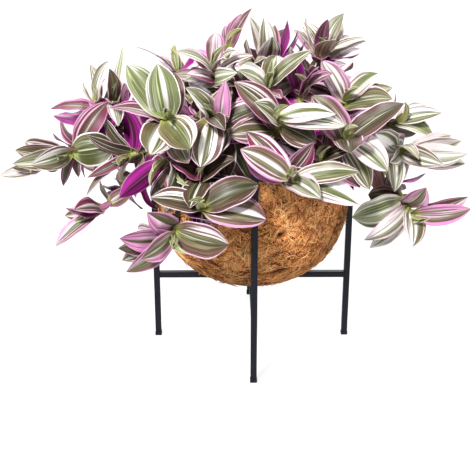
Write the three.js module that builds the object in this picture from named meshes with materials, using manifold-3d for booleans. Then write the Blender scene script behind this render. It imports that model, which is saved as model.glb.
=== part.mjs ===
// Potted tradescantia: a leafy house plant in a coir bowl on a four-legged metal stand.
// Millimetres, +Z up, the front of the stand faces -Y.
import * as THREE from 'three'
import { mergeVertices } from 'three/addons/utils/BufferGeometryUtils.js'
import Module from 'manifold-3d'

const wasm = await Module()
wasm.setup()

// Driving dimensions of the stand
const TUBE = 8
const LEG_HEIGHT = 290
const LEG_CENTRE = 129
const FOOT_HEIGHT = 5
const FOOT_WIDTH = 9
const BRACE_TOP = 96

// Driving dimensions of the bowl and its soil
const BOWL_GAP = 0.3
const BOWL_RADIUS = LEG_CENTRE - TUBE / 2 - BOWL_GAP
const BOWL_BOTTOM_RADIUS = 36
const BOWL_CURVE_HEIGHT = 115
const BOWL_RIM = 268
const BOWL_WALL = 9
const BOWL_ROUNDNESS = 2.3
const BOWL_SEGMENTS = 24
const SOIL_TOP = 250
const SOIL_GAP = 0.3

// Driving dimensions of stems and their roots
const STEM_SIDES = 4
const STEM_STEPS = 4
const STEM_ROOT_RADIUS = 2.9
const STEM_TIP_RADIUS = 2.4
const STEM_RISE = 0.42
const STEM_ARRIVAL = 0.3
const RIM_LIFT = 1.1
const RIM_HEADROOM = 25
const ROOT_DEPTH = 12
const ROOT_COLLAR = 2
const ROOT_GAP = 0.35
const ROOT_SPACING = 9
const ROOT_REACH = 101
const ROOT_GATHERING = 1.5
const INNERMOST_ROOT = 6
const HOLE_OVERCUT = 5

// Driving dimensions of leaves. Arch is a part of the length, fold and twist are in degrees,
// and each of the three is drawn between a least value and that value plus a spread.
const CLEARANCE = 0.4
const NODE_SPACING = 3
const LEAF_THICKNESS = 1
const LEAF_ROWS = [0, 0.3, 0.7]
const LEAF_BASE_WIDTH = 0.1
const LEAF_WIDEST = 0.4
const LEAF_TAPER = 1.3
const LEAF_ARCH = { least: 0.07, spread: 0.09 }
const LEAF_FOLD = { least: 8, spread: 14 }
const LEAF_TWIST = { least: -12, spread: 24 }
const LOWEST_PLACE = 0.05

// Colours
const POWDER_COAT = 0x1c1f29
const FOOT_PLASTIC = 0x0b0b0c
const COIR = 0xb97a3e
const SOIL_BROWN = 0x2b1e16
const LEAF_GREEN = 0x8a9c6c

// The point at the front from which the shoots were measured
const VIEWPOINT = new THREE.Vector3(-31, -1259, 671)
const UP = new THREE.Vector3(0, 0, 1)

// How short the part of one direction across another is when they lie almost in line
const ALMOST_ALONG = 0.15

// Shoots that show from the front. at: the heart of the shoot. axis: the way it grows, as
// [clock, lean]. leaves: [clock, lean, reach of the tip from the heart, width, turn], from the
// heart down the stem. A clock angle is seen from the viewpoint, anticlockwise from the right,
// and a lean is towards the viewpoint, in degrees. A turn rolls the leaf about its own length,
// and 180 shows its underside.
const SHOOTS = {
  rosette: { at: [-102, -130, 347], axis: [90, 64], leaves: [
    [125, 0, 76, 34, 0], [306, 35, 52, 40, 0], [98, 0, 64, 36, 0], [244, 40, 50, 40, 0],
    [78, -25, 60, 30, 0], [168, 0, 66, 24, 20]] },
  white_left: { at: [-53, -115, 345], axis: [90, 58], leaves: [
    [129, 40, 55, 22, 0], [318, 60, 46, 20, 0], [259, 20, 62, 40, 0]] },
  white_front: { at: [40, -165, 285], axis: [90, 60], leaves: [
    [150, 10, 68, 31, 0], [60, 60, 26, 20, 0], [8, 0, 78, 26, 0], [134, 0, 78, 29, 0],
    [341, 0, 82, 35, 0], [352, -10, 76, 28, 0], [329, 35, 48, 28, 0], [160, -38, 56, 30, 130]] },
  pink_front: { at: [-96, -165, 216], axis: [275, 62], leaves: [
    [181, 10, 62, 29, 0], [214, 35, 54, 28, 0], [191, -8, 66, 25, 0], [350, 10, 66, 40, 0],
    [136, 40, 52, 28, 0], [204, 5, 70, 30, 0]] },
  pink_centre: { at: [-63, -165, 250], axis: [90, 66], leaves: [
    [22, 5, 72, 36, 0], [350, 15, 76, 42, 0], [10, -20, 70, 28, 0], [167, 10, 60, 28, 0]] },
  middle_arch: { at: [25, -130, 346], axis: [100, 60], leaves: [
    [6, -8, 68, 25, 0], [355, 0, 80, 28, 0], [140, 12, 66, 31, 0], [152, 58, 46, 25, 0],
    [330, -20, 56, 34, 0]] },
  right_arch: { at: [108, -110, 318], axis: [90, 54], leaves: [
    [8, 55, 44, 20, 170], [323, 20, 62, 34, 0], [285, 62, 38, 34, 0], [33, 0, 77, 31, 0],
    [132, 0, 64, 36, 0], [296, -15, 70, 30, 0]] },
  right_low: { at: [197, -80, 210], axis: [310, 62], leaves: [
    [9, 0, 72, 26, 0], [21, -5, 72, 22, 0], [275, 40, 52, 30, 0], [223, 12, 68, 26, 0],
    [213, 0, 72, 24, 0], [66, 50, 46, 30, 0], [187, 5, 74, 38, 0], [160, -15, 62, 30, 0]] },
  right_reach: { at: [191, -60, 282], axis: [350, 55], leaves: [
    [17, 10, 66, 28, 0], [3, 0, 72, 29, 0], [27, -20, 60, 28, 0], [353, -10, 72, 26, 0],
    [337, 35, 54, 25, 0], [208, 55, 42, 21, 0], [152, 30, 54, 31, 0], [334, 58, 42, 20, 0],
    [254, 40, 50, 25, 0]] },
  left_reach: { at: [-232, -60, 282], axis: [200, 58], leaves: [
    [172, -8, 62, 24, 0], [187, 12, 66, 24, 0], [160, -30, 60, 28, 0], [194, 38, 56, 26, 0],
    [8, 10, 62, 40, 0], [262, -30, 46, 12, 0], [48, -5, 84, 30, 0], [296, -35, 40, 12, 0]] },
  left_tip: { at: [-262, -40, 264], axis: [200, 42], leaves: [
    [192, 0, 57, 19, 0], [200, -15, 50, 14, 0], [184, 20, 44, 14, 0]] },
  left_top: { at: [-195, -20, 337], axis: [95, 35], leaves: [
    [72, 25, 58, 21, 0], [97, -30, 56, 19, 0], [119, -50, 48, 18, 0], [125, -40, 52, 20, 0],
    [195, 25, 58, 30, 180], [186, -22, 64, 24, 0], [214, -38, 48, 16, 0]] },
  left_inner: { at: [-174, -40, 343], axis: [80, 42], leaves: [
    [92, 30, 46, 20, 0], [74, 45, 46, 16, 0], [281, 45, 42, 19, 0], [238, -20, 52, 35, 180],
    [76, -25, 78, 13, 0], [56, 50, 34, 20, 180]] },
  left_hang: { at: [-154, -70, 282], axis: [205, 42], leaves: [
    [221, 0, 70, 14, 40], [205, 5, 56, 13, 0], [95, -8, 60, 32, 180], [118, -35, 62, 20, 0],
    [60, -25, 58, 20, 0], [150, -30, 58, 18, 0]] },
  bronze_top: { at: [-48, -60, 388], axis: [90, 42], leaves: [
    [87, -38, 56, 21, 0], [40, 48, 50, 23, 0], [144, -45, 52, 22, 0], [156, 30, 58, 24, 0],
    [19, 35, 58, 25, 0], [352, 45, 50, 20, 70], [189, 30, 38, 25, 0], [201, 30, 38, 25, 0]] },
  purple_spire: { at: [-31, 20, 394], axis: [75, 15], leaves: [
    [60, 0, 60, 14, 20], [70, -30, 56, 16, 0], [83, -42, 50, 14, 0], [97, -20, 44, 16, 0]] },
  top_fan: { at: [15, 0, 384], axis: [85, 30], leaves: [
    [75, 52, 50, 27, 180], [105, -35, 58, 18, 50], [130, 48, 52, 25, 180], [76, -35, 58, 18, 40],
    [62, -15, 60, 20, 150], [44, -5, 56, 18, 120], [166, 58, 45, 18, 0], [28, 0, 56, 18, 120]] },
  top_front: { at: [16, -70, 370], axis: [80, 50], leaves: [
    [74, -42, 52, 25, 0], [39, 0, 68, 20, 0], [152, 38, 50, 34, 0], [318, 50, 34, 16, 0],
    [255, 15, 54, 30, 0], [300, 5, 58, 30, 0]] },
  magenta_fold: { at: [59, -60, 356], axis: [80, 40], leaves: [
    [119, -40, 54, 25, 0], [37, 38, 54, 28, 0], [152, -20, 56, 36, 180], [300, 20, 56, 28, 180],
    [240, 0, 50, 26, 0]] },
  top_right: { at: [84, -10, 392], axis: [85, 25], leaves: [
    [123, -25, 58, 22, 0], [64, -20, 60, 22, 0], [112, 25, 58, 21, 180], [54, 28, 56, 22, 0],
    [95, 48, 44, 22, 0], [39, -35, 55, 21, 0], [20, 25, 58, 25, 0], [12, -30, 58, 22, 0],
    [352, 42, 52, 28, 180], [163, 42, 52, 25, 180]] },
  right_top: { at: [110, -60, 348], axis: [85, 45], leaves: [
    [42, -25, 58, 26, 0], [122, 0, 58, 29, 0], [161, 35, 56, 26, 0], [5, 22, 60, 34, 0],
    [179, 42, 54, 25, 0], [18, -15, 62, 28, 0]] },
  right_back: { at: [184, 0, 305], axis: [40, 40], leaves: [
    [14, 0, 58, 22, 0], [33, -38, 54, 22, 0], [339, 35, 54, 25, 0]] },
  left_low: { at: [-191, -80, 215], axis: [196, 25], leaves: [
    [216, 0, 70, 21, 0], [175, 48, 46, 26, 180], [172, 38, 52, 18, 0], [185, -35, 54, 21, 0],
    [28, 10, 50, 20, 0], [85, -20, 52, 12, 0]] },
  magenta_drop: { at: [-105, -120, 293], axis: [210, 38], leaves: [
    [217, 0, 70, 26, 160], [204, -38, 54, 16, 0], [330, 0, 50, 28, 180], [290, 20, 48, 28, 0]] },
  front_drop: { at: [-94, -125, 289], axis: [270, 50], leaves: [
    [270, 42, 52, 36, 0], [223, -25, 52, 24, 0], [301, -35, 50, 26, 180]] },
  pink_spear: { at: [-40, -100, 328], axis: [90, 50], leaves: [
    [84, 20, 58, 19, 0], [24, 32, 56, 29, 0], [258, 45, 50, 29, 0], [299, 0, 74, 40, 0],
    [274, -10, 66, 28, 0]] },
  back_purple: { at: [-96, 30, 366], axis: [100, 0], leaves: [
    [48, -25, 30, 24, 180], [115, -48, 46, 12, 0], [149, -45, 50, 20, 0], [151, 0, 62, 14, 0],
    [150, -20, 50, 14, 0]] },
  front_middle: { at: [-65, -132, 274], axis: [90, 48], leaves: [
    [155, 5, 48, 26, 0], [340, 10, 54, 28, 0], [30, -10, 50, 26, 0], [250, 25, 52, 30, 0],
    [215, 0, 56, 28, 0], [300, -10, 50, 28, 0]] },
  right_inner: { at: [82, -98, 287], axis: [100, 50], leaves: [
    [140, 0, 44, 24, 0], [20, 0, 46, 26, 0], [75, -20, 46, 24, 0], [325, 20, 56, 28, 0],
    [245, 10, 48, 28, 0], [285, -10, 52, 28, 0]] }
}

// Rings of shoots round the back and sides: count, radius, height and the angles they cover
const RINGS = {
  back_low: { count: 6, radius: 190, height: 232, from: 28, to: 152, outward: 70 },
  back_middle: { count: 6, radius: 152, height: 290, from: 16, to: 160, outward: 45 },
  back_upper: { count: 4, radius: 82, height: 342, from: 30, to: 150, outward: 25 },
  back_crown: { count: 2, radius: 30, height: 356, from: 60, to: 240, outward: 10 }
}
const RING_SPREAD = { angle: 10, radius: 0.16, height: 24 }

// Leaves of a ring shoot, and older leaves down the stem of a shoot that shows: how many, the
// first one's place down the stem, the gap to the next and how it grows, the turn round the
// stem from one to the next, the tilt away from the stem, and the least length and width
const RING_LEAVES = {
  count: 7, first: 2, gap: 3, growth: 1.3, turn: 208, tilt: 34, opening: 8, length: 54, width: 24
}
const OLDER_LEAVES = {
  count: 1, first: 30, gap: 19, growth: 0, turn: 205, tilt: 72, opening: 0, length: 48, width: 26
}
const LEAF_SPREAD = { tilt: 10, length: 12, width: 9 }
const WIDEST_TILT = 84

// Each shoot has its own run of numbers for its draws, with a place for each kind of leaf
const KEYS_PER_SHOOT = 40
const OLDER_KEY = 10
const RING_KEY = 20

// How a stem looks for a clear root, in degrees round the soil and millimetres inwards
const ROOT_TURNS = [0, 7, -7, 14, -14, 21, -21, 30, -30, 40, -40]
const ROOT_SHIFTS = [0, 12, 24, 36]

// How a leaf bends clear of other shoots: degrees of lean, degrees sideways, part of its length.
// A leaf given round its stem swings by a multiple of the lean instead.
const BENDS = [
  [0, 0, 1], [12, 0, 1], [-12, 0, 1], [24, 0, 1], [-24, 0, 1], [0, 8, 1], [0, -8, 1],
  [12, 8, 1], [-12, -8, 1], [12, -8, 1], [-12, 8, 1], [36, 0, 1], [-36, 0, 1], [0, 0, 0.85],
  [24, 10, 0.9], [-24, -10, 0.9], [24, -10, 0.9], [-24, 10, 0.9], [0, 16, 0.85],
  [0, -16, 0.85], [48, 0, 0.9], [-48, 0, 0.9], [0, 0, 0.7], [20, 16, 0.7], [-20, -16, 0.7]
]

const SWING_PER_LEAN = 3

// A repeatable draw between 0 and 1 for a pair of numbers
function draw(a, b) {
  const value = Math.sin(a * 12.9898 + b * 78.233) * 43758.5453
  return value - Math.floor(value)
}

function drawIn(range, a, b) {
  return range.least + range.spread * draw(a, b)
}

function radians(degrees) {
  return degrees * Math.PI / 180
}

// Turn a closed geometry into a solid, and a solid back into a geometry
function solidOf(geometry) {
  const bare = geometry.clone()
  bare.deleteAttribute('normal')
  bare.deleteAttribute('uv')
  const merged = mergeVertices(bare, 1e-5)
  const vertProperties = new Float32Array(merged.attributes.position.array)
  const triVerts = new Uint32Array(merged.index.array)
  return new wasm.Manifold(new wasm.Mesh({ numProp: 3, vertProperties, triVerts }))
}

function geometryOf(solid) {
  const mesh = solid.getMesh()
  const geometry = new THREE.BufferGeometry()
  geometry.setAttribute('position', new THREE.BufferAttribute(new Float32Array(mesh.vertProperties), 3))
  geometry.setIndex(new THREE.BufferAttribute(new Uint32Array(mesh.triVerts), 1))
  geometry.computeVertexNormals()
  return geometry
}

// The largest body of a solid, without loose scraps or sealed hollows
function mainBody(solid) {
  const bodies = solid.decompose()
  return bodies.reduce((best, body) => body.volume() > best.volume() ? body : best)
}

// Do the outer boxes of two solids meet
function boxesMeet(one, two) {
  return [0, 1, 2].every(i => one.min[i] <= two.max[i] && two.min[i] <= one.max[i])
}

// Solids placed so far, with the shoot that owns each
const placed = []

function place(owner, solid) {
  placed.push({ owner, solid, box: solid.boundingBox() })
}

function isClear(owner, trial) {
  const box = trial.boundingBox()
  const near = placed.filter(item => item.owner !== owner && boxesMeet(item.box, box))
  return near.every(item => item.solid.intersect(trial).isEmpty())
}

function addToShoot(shoot, solid) {
  place(shoot.name, solid)
  shoot.solids.push(solid)
}

const group = new THREE.Group()

function addMesh(name, geometry, color, roughness, metalness) {
  const material = new THREE.MeshStandardMaterial({ color, roughness, metalness })
  const mesh = new THREE.Mesh(geometry, material)
  mesh.name = name
  group.add(mesh)
  return mesh
}

// Stand: four legs with feet, and a cross brace that carries the bowl
function buildStand() {
  const quarters = { front: [0, -1], back: [0, 1], left: [-1, 0], right: [1, 0] }
  const legLength = LEG_HEIGHT - FOOT_HEIGHT
  for (const [side, [x, y]] of Object.entries(quarters)) {
    const legShape = new THREE.BoxGeometry(TUBE, TUBE, legLength)
    const leg = addMesh(`leg_${side}`, legShape, POWDER_COAT, 0.5, 0.3)
    leg.position.set(x * LEG_CENTRE, y * LEG_CENTRE, FOOT_HEIGHT + legLength / 2)
    const footShape = new THREE.BoxGeometry(FOOT_WIDTH, FOOT_WIDTH, FOOT_HEIGHT)
    const foot = addMesh(`foot_${side}`, footShape, FOOT_PLASTIC, 0.7, 0)
    foot.position.set(x * LEG_CENTRE, y * LEG_CENTRE, FOOT_HEIGHT / 2)
  }
  const reach = LEG_CENTRE - TUBE / 2
  const throughShape = new THREE.BoxGeometry(2 * reach, TUBE, TUBE)
  const through = addMesh('brace_through', throughShape, POWDER_COAT, 0.5, 0.3)
  through.position.set(0, 0, BRACE_TOP - TUBE / 2)
  const halfLength = reach - TUBE / 2
  for (const [side, y] of [['front', -1], ['back', 1]]) {
    const halfShape = new THREE.BoxGeometry(TUBE, halfLength, TUBE)
    const half = addMesh(`brace_${side}`, halfShape, POWDER_COAT, 0.5, 0.3)
    half.position.set(0, y * (reach + TUBE / 2) / 2, BRACE_TOP - TUBE / 2)
  }
}

// Outline of the bowl at an inset from its outside, from the foot of the curve up to a height
function bowlOutline(inset, top) {
  const outline = [new THREE.Vector2(0, BRACE_TOP + inset)]
  const radius = BOWL_RADIUS - inset
  const curve = BOWL_CURVE_HEIGHT - inset
  const start = (BOWL_BOTTOM_RADIUS - inset) / radius
  for (const turn of [0, 0.25, 0.5, 0.75, 1]) {
    const across = start + (1 - start) * Math.sin(turn * Math.PI / 2)
    const down = Math.pow(Math.max(0, 1 - Math.pow(across, BOWL_ROUNDNESS)), 1 / BOWL_ROUNDNESS)
    const lowest = Math.pow(1 - Math.pow(start, BOWL_ROUNDNESS), 1 / BOWL_ROUNDNESS)
    outline.push(new THREE.Vector2(across * radius, BRACE_TOP + inset + curve * (1 - down / lowest)))
  }
  outline.push(new THREE.Vector2(radius, top))
  return outline
}

function buildBowl() {
  const outside = bowlOutline(0, BOWL_RIM)
  const inside = bowlOutline(BOWL_WALL, BOWL_RIM).reverse()
  const shape = new THREE.LatheGeometry(outside.concat(inside), BOWL_SEGMENTS)
  shape.rotateX(Math.PI / 2)
  const solid = solidOf(shape)
  addMesh('coir_bowl', geometryOf(solid), COIR, 0.95, 0)
  return solid
}

// Soil with a plain hole for each root
function buildSoil() {
  const outline = bowlOutline(BOWL_WALL + SOIL_GAP, SOIL_TOP)
  outline.push(new THREE.Vector2(0, SOIL_TOP))
  const shape = new THREE.LatheGeometry(outline, BOWL_SEGMENTS)
  shape.rotateX(Math.PI / 2)
  let solid = solidOf(shape)
  for (const root of roots) {
    const bottom = root.clone().setZ(SOIL_TOP - ROOT_DEPTH - ROOT_GAP)
    const top = root.clone().setZ(SOIL_TOP + HOLE_OVERCUT)
    const radius = STEM_ROOT_RADIUS + ROOT_GAP / Math.cos(Math.PI / STEM_SIDES)
    solid = solid.subtract(solidOf(sweep([bottom, top], [UP, UP], [radius, radius])))
  }
  addMesh('soil', geometryOf(solid), SOIL_BROWN, 1, 0)
  return solid
}

// A closed round bar through rings of points, square to the given directions
function sweep(points, directions, radii) {
  const positions = []
  const index = []
  const across = new THREE.Vector3(1, 0, 0)
  points.forEach((point, i) => {
    across.addScaledVector(directions[i], -across.dot(directions[i])).normalize()
    const other = new THREE.Vector3().crossVectors(directions[i], across)
    for (let side = 0; side < STEM_SIDES; side++) {
      const angle = 2 * Math.PI * side / STEM_SIDES
      const corner = point.clone()
      corner.addScaledVector(across, radii[i] * Math.cos(angle))
      corner.addScaledVector(other, radii[i] * Math.sin(angle))
      positions.push(corner.x, corner.y, corner.z)
    }
  })
  const last = (points.length - 1) * STEM_SIDES
  for (let i = 0; i < last; i += STEM_SIDES) {
    for (let side = 0; side < STEM_SIDES; side++) {
      const next = (side + 1) % STEM_SIDES
      index.push(i + side, i + next, i + STEM_SIDES + next)
      index.push(i + side, i + STEM_SIDES + next, i + STEM_SIDES + side)
    }
  }
  for (let side = 1; side < STEM_SIDES - 1; side++) {
    index.push(0, side + 1, side)
    index.push(last, last + side, last + side + 1)
  }
  return indexedGeometry(positions, index)
}

function indexedGeometry(positions, index) {
  const geometry = new THREE.BufferGeometry()
  geometry.setAttribute('position', new THREE.Float32BufferAttribute(positions, 3))
  geometry.setIndex(index)
  return geometry
}

// Directions as seen from the viewpoint at a place: right, up and towards the viewpoint
function viewFrame(at) {
  const toward = VIEWPOINT.clone().sub(at).normalize()
  const right = new THREE.Vector3().crossVectors(UP, toward).normalize()
  const above = new THREE.Vector3().crossVectors(toward, right)
  return { right, above, toward }
}

function seenDirection(frame, clock, lean) {
  const flat = Math.cos(radians(lean))
  return new THREE.Vector3()
    .addScaledVector(frame.right, flat * Math.cos(radians(clock)))
    .addScaledVector(frame.above, flat * Math.sin(radians(clock)))
    .addScaledVector(frame.toward, Math.sin(radians(lean)))
}

// The stem's curve: straight up out of the soil, then over to the heart along the shoot's axis
function stemCurve(root, heart, axis) {
  const reach = root.distanceTo(heart)
  const rise = STEM_RISE * reach + RIM_LIFT * Math.max(0, BOWL_RIM + RIM_HEADROOM - heart.z)
  const start = root.clone().setZ(SOIL_TOP + ROOT_COLLAR)
  const lift = start.clone().addScaledVector(UP, rise)
  const arrive = heart.clone().addScaledVector(axis, -STEM_ARRIVAL * reach)
  return new THREE.CubicBezierCurve3(start, lift, arrive, heart)
}

function stemShape(curve, grow) {
  const points = [curve.v0.clone().setZ(SOIL_TOP - ROOT_DEPTH)]
  const directions = [UP]
  const radii = [STEM_ROOT_RADIUS + grow]
  for (let step = 0; step <= STEM_STEPS; step++) {
    const t = step / STEM_STEPS
    points.push(curve.getPoint(t))
    directions.push(curve.getTangent(t))
    radii.push(STEM_ROOT_RADIUS + (STEM_TIP_RADIUS - STEM_ROOT_RADIUS) * t + grow)
  }
  return sweep(points, directions, radii)
}

const roots = []

// Give a shoot the first clear root, tried from its own side of the soil inwards
function plantStem(shoot) {
  const heart = shoot.heart
  const azimuth = Math.atan2(heart.y, heart.x)
  const rise = Math.atan2(Math.max(0, heart.z - SOIL_TOP), Math.hypot(heart.x, heart.y))
  const radius = ROOT_REACH * Math.pow(Math.cos(rise), ROOT_GATHERING)
  for (const shift of ROOT_SHIFTS) {
    for (const turn of ROOT_TURNS) {
      const angle = azimuth + radians(turn)
      const distance = Math.max(INNERMOST_ROOT, radius - shift)
      const root = new THREE.Vector3(distance * Math.cos(angle), distance * Math.sin(angle), SOIL_TOP)
      if (roots.some(other => other.distanceTo(root) < ROOT_SPACING)) continue
      const curve = stemCurve(root, heart, shoot.axis)
      if (!isClear(shoot.name, solidOf(stemShape(curve, CLEARANCE)))) continue
      roots.push(root)
      shoot.curve = curve
      addToShoot(shoot, solidOf(stemShape(curve, 0)))
      return
    }
  }
  throw new Error(`no clear root for ${shoot.name}`)
}

// The point of a stem's curve at a distance down from the heart
function stemPlace(curve, down) {
  const speedAtHeart = 3 * curve.v2.distanceTo(curve.v3)
  const t = Math.max(LOWEST_PLACE, 1 - down / speedAtHeart)
  return { point: curve.getPoint(t), tangent: curve.getTangent(t) }
}

// Width of a leaf along its length, broad at the clasping base and drawn to a point
function leafWidth(u) {
  const swell = Math.sin(Math.PI / 2 * Math.min(1, u / LEAF_WIDEST))
  const rest = Math.max(0, (u - LEAF_WIDEST) / (1 - LEAF_WIDEST))
  const taper = Math.cos(Math.PI / 2 * Math.pow(rest, LEAF_TAPER))
  return (LEAF_BASE_WIDTH + (1 - LEAF_BASE_WIDTH) * swell) * taper
}

// One closed blade, in rings of left edge, right edge and keel, and a tip. The rows before the
// first wanted one are left out.
function leafShape(leaf, grow, firstRow) {
  const rows = LEAF_ROWS.slice(firstRow)
  const positions = []
  const index = []
  const length = leaf.length + grow
  for (const u of rows) {
    const centre = leaf.base.clone()
    centre.addScaledVector(leaf.along, length * u)
    centre.addScaledVector(leaf.face, leaf.length * leaf.arch * 4 * u * (1 - u))
    const tangent = leaf.along.clone().addScaledVector(leaf.face, leaf.arch * 4 * (1 - 2 * u)).normalize()
    const side = new THREE.Vector3().crossVectors(leaf.along, leaf.face)
    side.applyAxisAngle(leaf.along, leaf.twist * u)
    side.addScaledVector(tangent, -side.dot(tangent)).normalize()
    const normal = new THREE.Vector3().crossVectors(side, tangent)
    const reach = leaf.width / 2 * leafWidth(u) + grow
    const flat = reach * Math.cos(leaf.fold)
    const raised = Math.max(LEAF_THICKNESS, reach * Math.sin(leaf.fold)) + grow
    const ring = [[-flat, raised], [flat, raised], [0, -grow]]
    for (const [x, z] of ring) {
      const corner = centre.clone().addScaledVector(side, x).addScaledVector(normal, z)
      positions.push(corner.x, corner.y, corner.z)
    }
  }
  const tip = leaf.base.clone().addScaledVector(leaf.along, length)
  positions.push(tip.x, tip.y, tip.z)
  index.push(0, 2, 1)
  const end = rows.length * 3
  for (let ring = 0; ring < end; ring += 3) {
    for (let corner = 0; corner < 3; corner++) {
      const one = ring + corner
      const two = ring + (corner + 1) % 3
      if (ring + 3 === end) index.push(one, two, end)
      else index.push(one, two, two + 3, one, two + 3, one + 3)
    }
  }
  return indexedGeometry(positions, index)
}

// A leaf on a stem, with its face turned to the way the shoot grows
function makeLeaf(base, along, axis, length, width, turn, key) {
  const face = axis.clone().addScaledVector(along, -axis.dot(along))
  if (face.length() < ALMOST_ALONG) face.copy(UP).addScaledVector(along, -along.z)
  face.normalize().applyAxisAngle(along, radians(turn))
  const arch = drawIn(LEAF_ARCH, key, 1)
  const fold = radians(drawIn(LEAF_FOLD, key, 2))
  const twist = radians(drawIn(LEAF_TWIST, key, 3))
  return { base, along, face, length, width, arch, fold, twist }
}

// Place the first of the bent leaves that clears every other shoot, and if it can be done
// the other leaves of its own shoot too, past its root
function placeLeaf(shoot, bent) {
  const isApart = leaf => isClear(shoot.name, solidOf(leafShape(leaf, CLEARANCE, 0)))
  const clear = BENDS.map(bent).filter(isApart)
  if (clear.length === 0) return
  const free = clear.find(leaf => {
    const outer = solidOf(leafShape(leaf, 0, 1))
    return shoot.solids.every(solid => solid.intersect(outer).isEmpty())
  })
  addToShoot(shoot, solidOf(leafShape(free ?? clear[0], 0, 0)))
}

// A leaf given by where its tip shows from the viewpoint
function placeSeenLeaf(shoot, row, count, key) {
  const [clock, lean, reach, width, turn] = row
  const spot = stemPlace(shoot.curve, NODE_SPACING * count)
  const frame = viewFrame(shoot.heart)
  placeLeaf(shoot, ([leaning, sideways, scale]) => {
    const along = seenDirection(frame, clock + sideways, lean + leaning)
    along.multiplyScalar(reach * scale).add(shoot.heart).sub(spot.point)
    const length = along.length()
    return makeLeaf(spot.point, along.normalize(), shoot.axis, length, width, turn, key)
  })
}

// A leaf given by its turn round the stem and its tilt away from the stem's direction
function placeStemLeaf(shoot, down, around, tilt, length, width, key) {
  const spot = stemPlace(shoot.curve, down)
  const out = UP.clone().addScaledVector(spot.tangent, -spot.tangent.z)
  if (out.length() < ALMOST_ALONG) out.set(1, 0, 0).addScaledVector(spot.tangent, -spot.tangent.x)
  out.normalize()
  placeLeaf(shoot, ([leaning, sideways, scale]) => {
    const swing = radians(around + leaning * SWING_PER_LEAN)
    const open = radians(tilt + sideways)
    const along = out.clone().applyAxisAngle(spot.tangent, swing).multiplyScalar(Math.sin(open))
    along.addScaledVector(spot.tangent, Math.cos(open))
    return makeLeaf(spot.point, along, spot.tangent, length * scale, width, 0, key)
  })
}

// Add a shoot to the list, with its heart and the way it grows
const shoots = []

function addShoot(name, heart, axis, leaves) {
  shoots.push({ name, heart, axis, leaves, number: shoots.length, solids: [] })
}

// All shoots, those seen from the front first
function listShoots() {
  for (const [name, { at, axis, leaves }] of Object.entries(SHOOTS)) {
    const heart = new THREE.Vector3(...at)
    addShoot(name, heart, seenDirection(viewFrame(heart), axis[0], axis[1]), leaves)
  }
  for (const [ring, { count, radius, height, from, to, outward }] of Object.entries(RINGS)) {
    for (let i = 0; i < count; i++) {
      const key = shoots.length
      const even = from + (to - from) * i / (count - 1)
      const angle = radians(even + RING_SPREAD.angle * (draw(key, 11) - 0.5))
      const distance = radius * (1 + RING_SPREAD.radius * (draw(key, 12) - 0.5))
      const out = new THREE.Vector3(Math.cos(angle), Math.sin(angle), 0)
      const heart = out.clone().multiplyScalar(distance)
      heart.z = height + RING_SPREAD.height * (draw(key, 13) - 0.5)
      const axis = out.multiplyScalar(Math.sin(radians(outward)))
      axis.addScaledVector(UP, Math.cos(radians(outward)))
      addShoot(`${ring}_${i + 1}`, heart, axis, [])
    }
  }
}

// Alternate leaves down a stem, from first to last
function placeStemLeaves(shoot, plan, firstKey) {
  const start = 360 * draw(shoot.number, firstKey)
  for (let i = 0; i < plan.count; i++) {
    const key = shoot.number * KEYS_PER_SHOOT + firstKey + i
    const down = plan.first + plan.gap * i + plan.growth * i * i
    const tilt = plan.tilt + plan.opening * i + LEAF_SPREAD.tilt * draw(key, 4)
    const length = plan.length + LEAF_SPREAD.length * draw(key, 5)
    const width = plan.width + LEAF_SPREAD.width * draw(key, 6)
    placeStemLeaf(shoot, down, start + plan.turn * i, Math.min(tilt, WIDEST_TILT), length, width, key)
  }
}

buildStand()
group.updateMatrixWorld(true)
for (const mesh of group.children) {
  place('stand', solidOf(mesh.geometry.clone().applyMatrix4(mesh.matrixWorld)))
}
place('bowl', buildBowl())

listShoots()
shoots.forEach(plantStem)
place('soil', buildSoil())

for (const shoot of shoots) {
  const firstKey = shoot.number * KEYS_PER_SHOOT
  shoot.leaves.forEach((row, i) => placeSeenLeaf(shoot, row, i, firstKey + i))
}
for (const shoot of shoots) {
  if (shoot.leaves.length === 0) placeStemLeaves(shoot, RING_LEAVES, RING_KEY)
  else placeStemLeaves(shoot, OLDER_LEAVES, OLDER_KEY)
}

// Fuse each shoot's stem and leaves into one body
for (const shoot of shoots) {
  const fused = shoot.solids.reduce((whole, piece) => whole.add(piece))
  addMesh(`shoot_${shoot.name}`, geometryOf(mainBody(fused)), LEAF_GREEN, 0.5, 0)
}

// Put the middle of the whole object's outline on the floor at the origin
const bounds = new THREE.Box3().setFromObject(group)
group.position.set(-(bounds.min.x + bounds.max.x) / 2, -(bounds.min.y + bounds.max.y) / 2, 0)

export default group
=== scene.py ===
# Potted tradescantia: the finished look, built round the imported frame. The way the plant grows
# is worked out in millimetres round the middle of the stand, and written in metres.
import math

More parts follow.
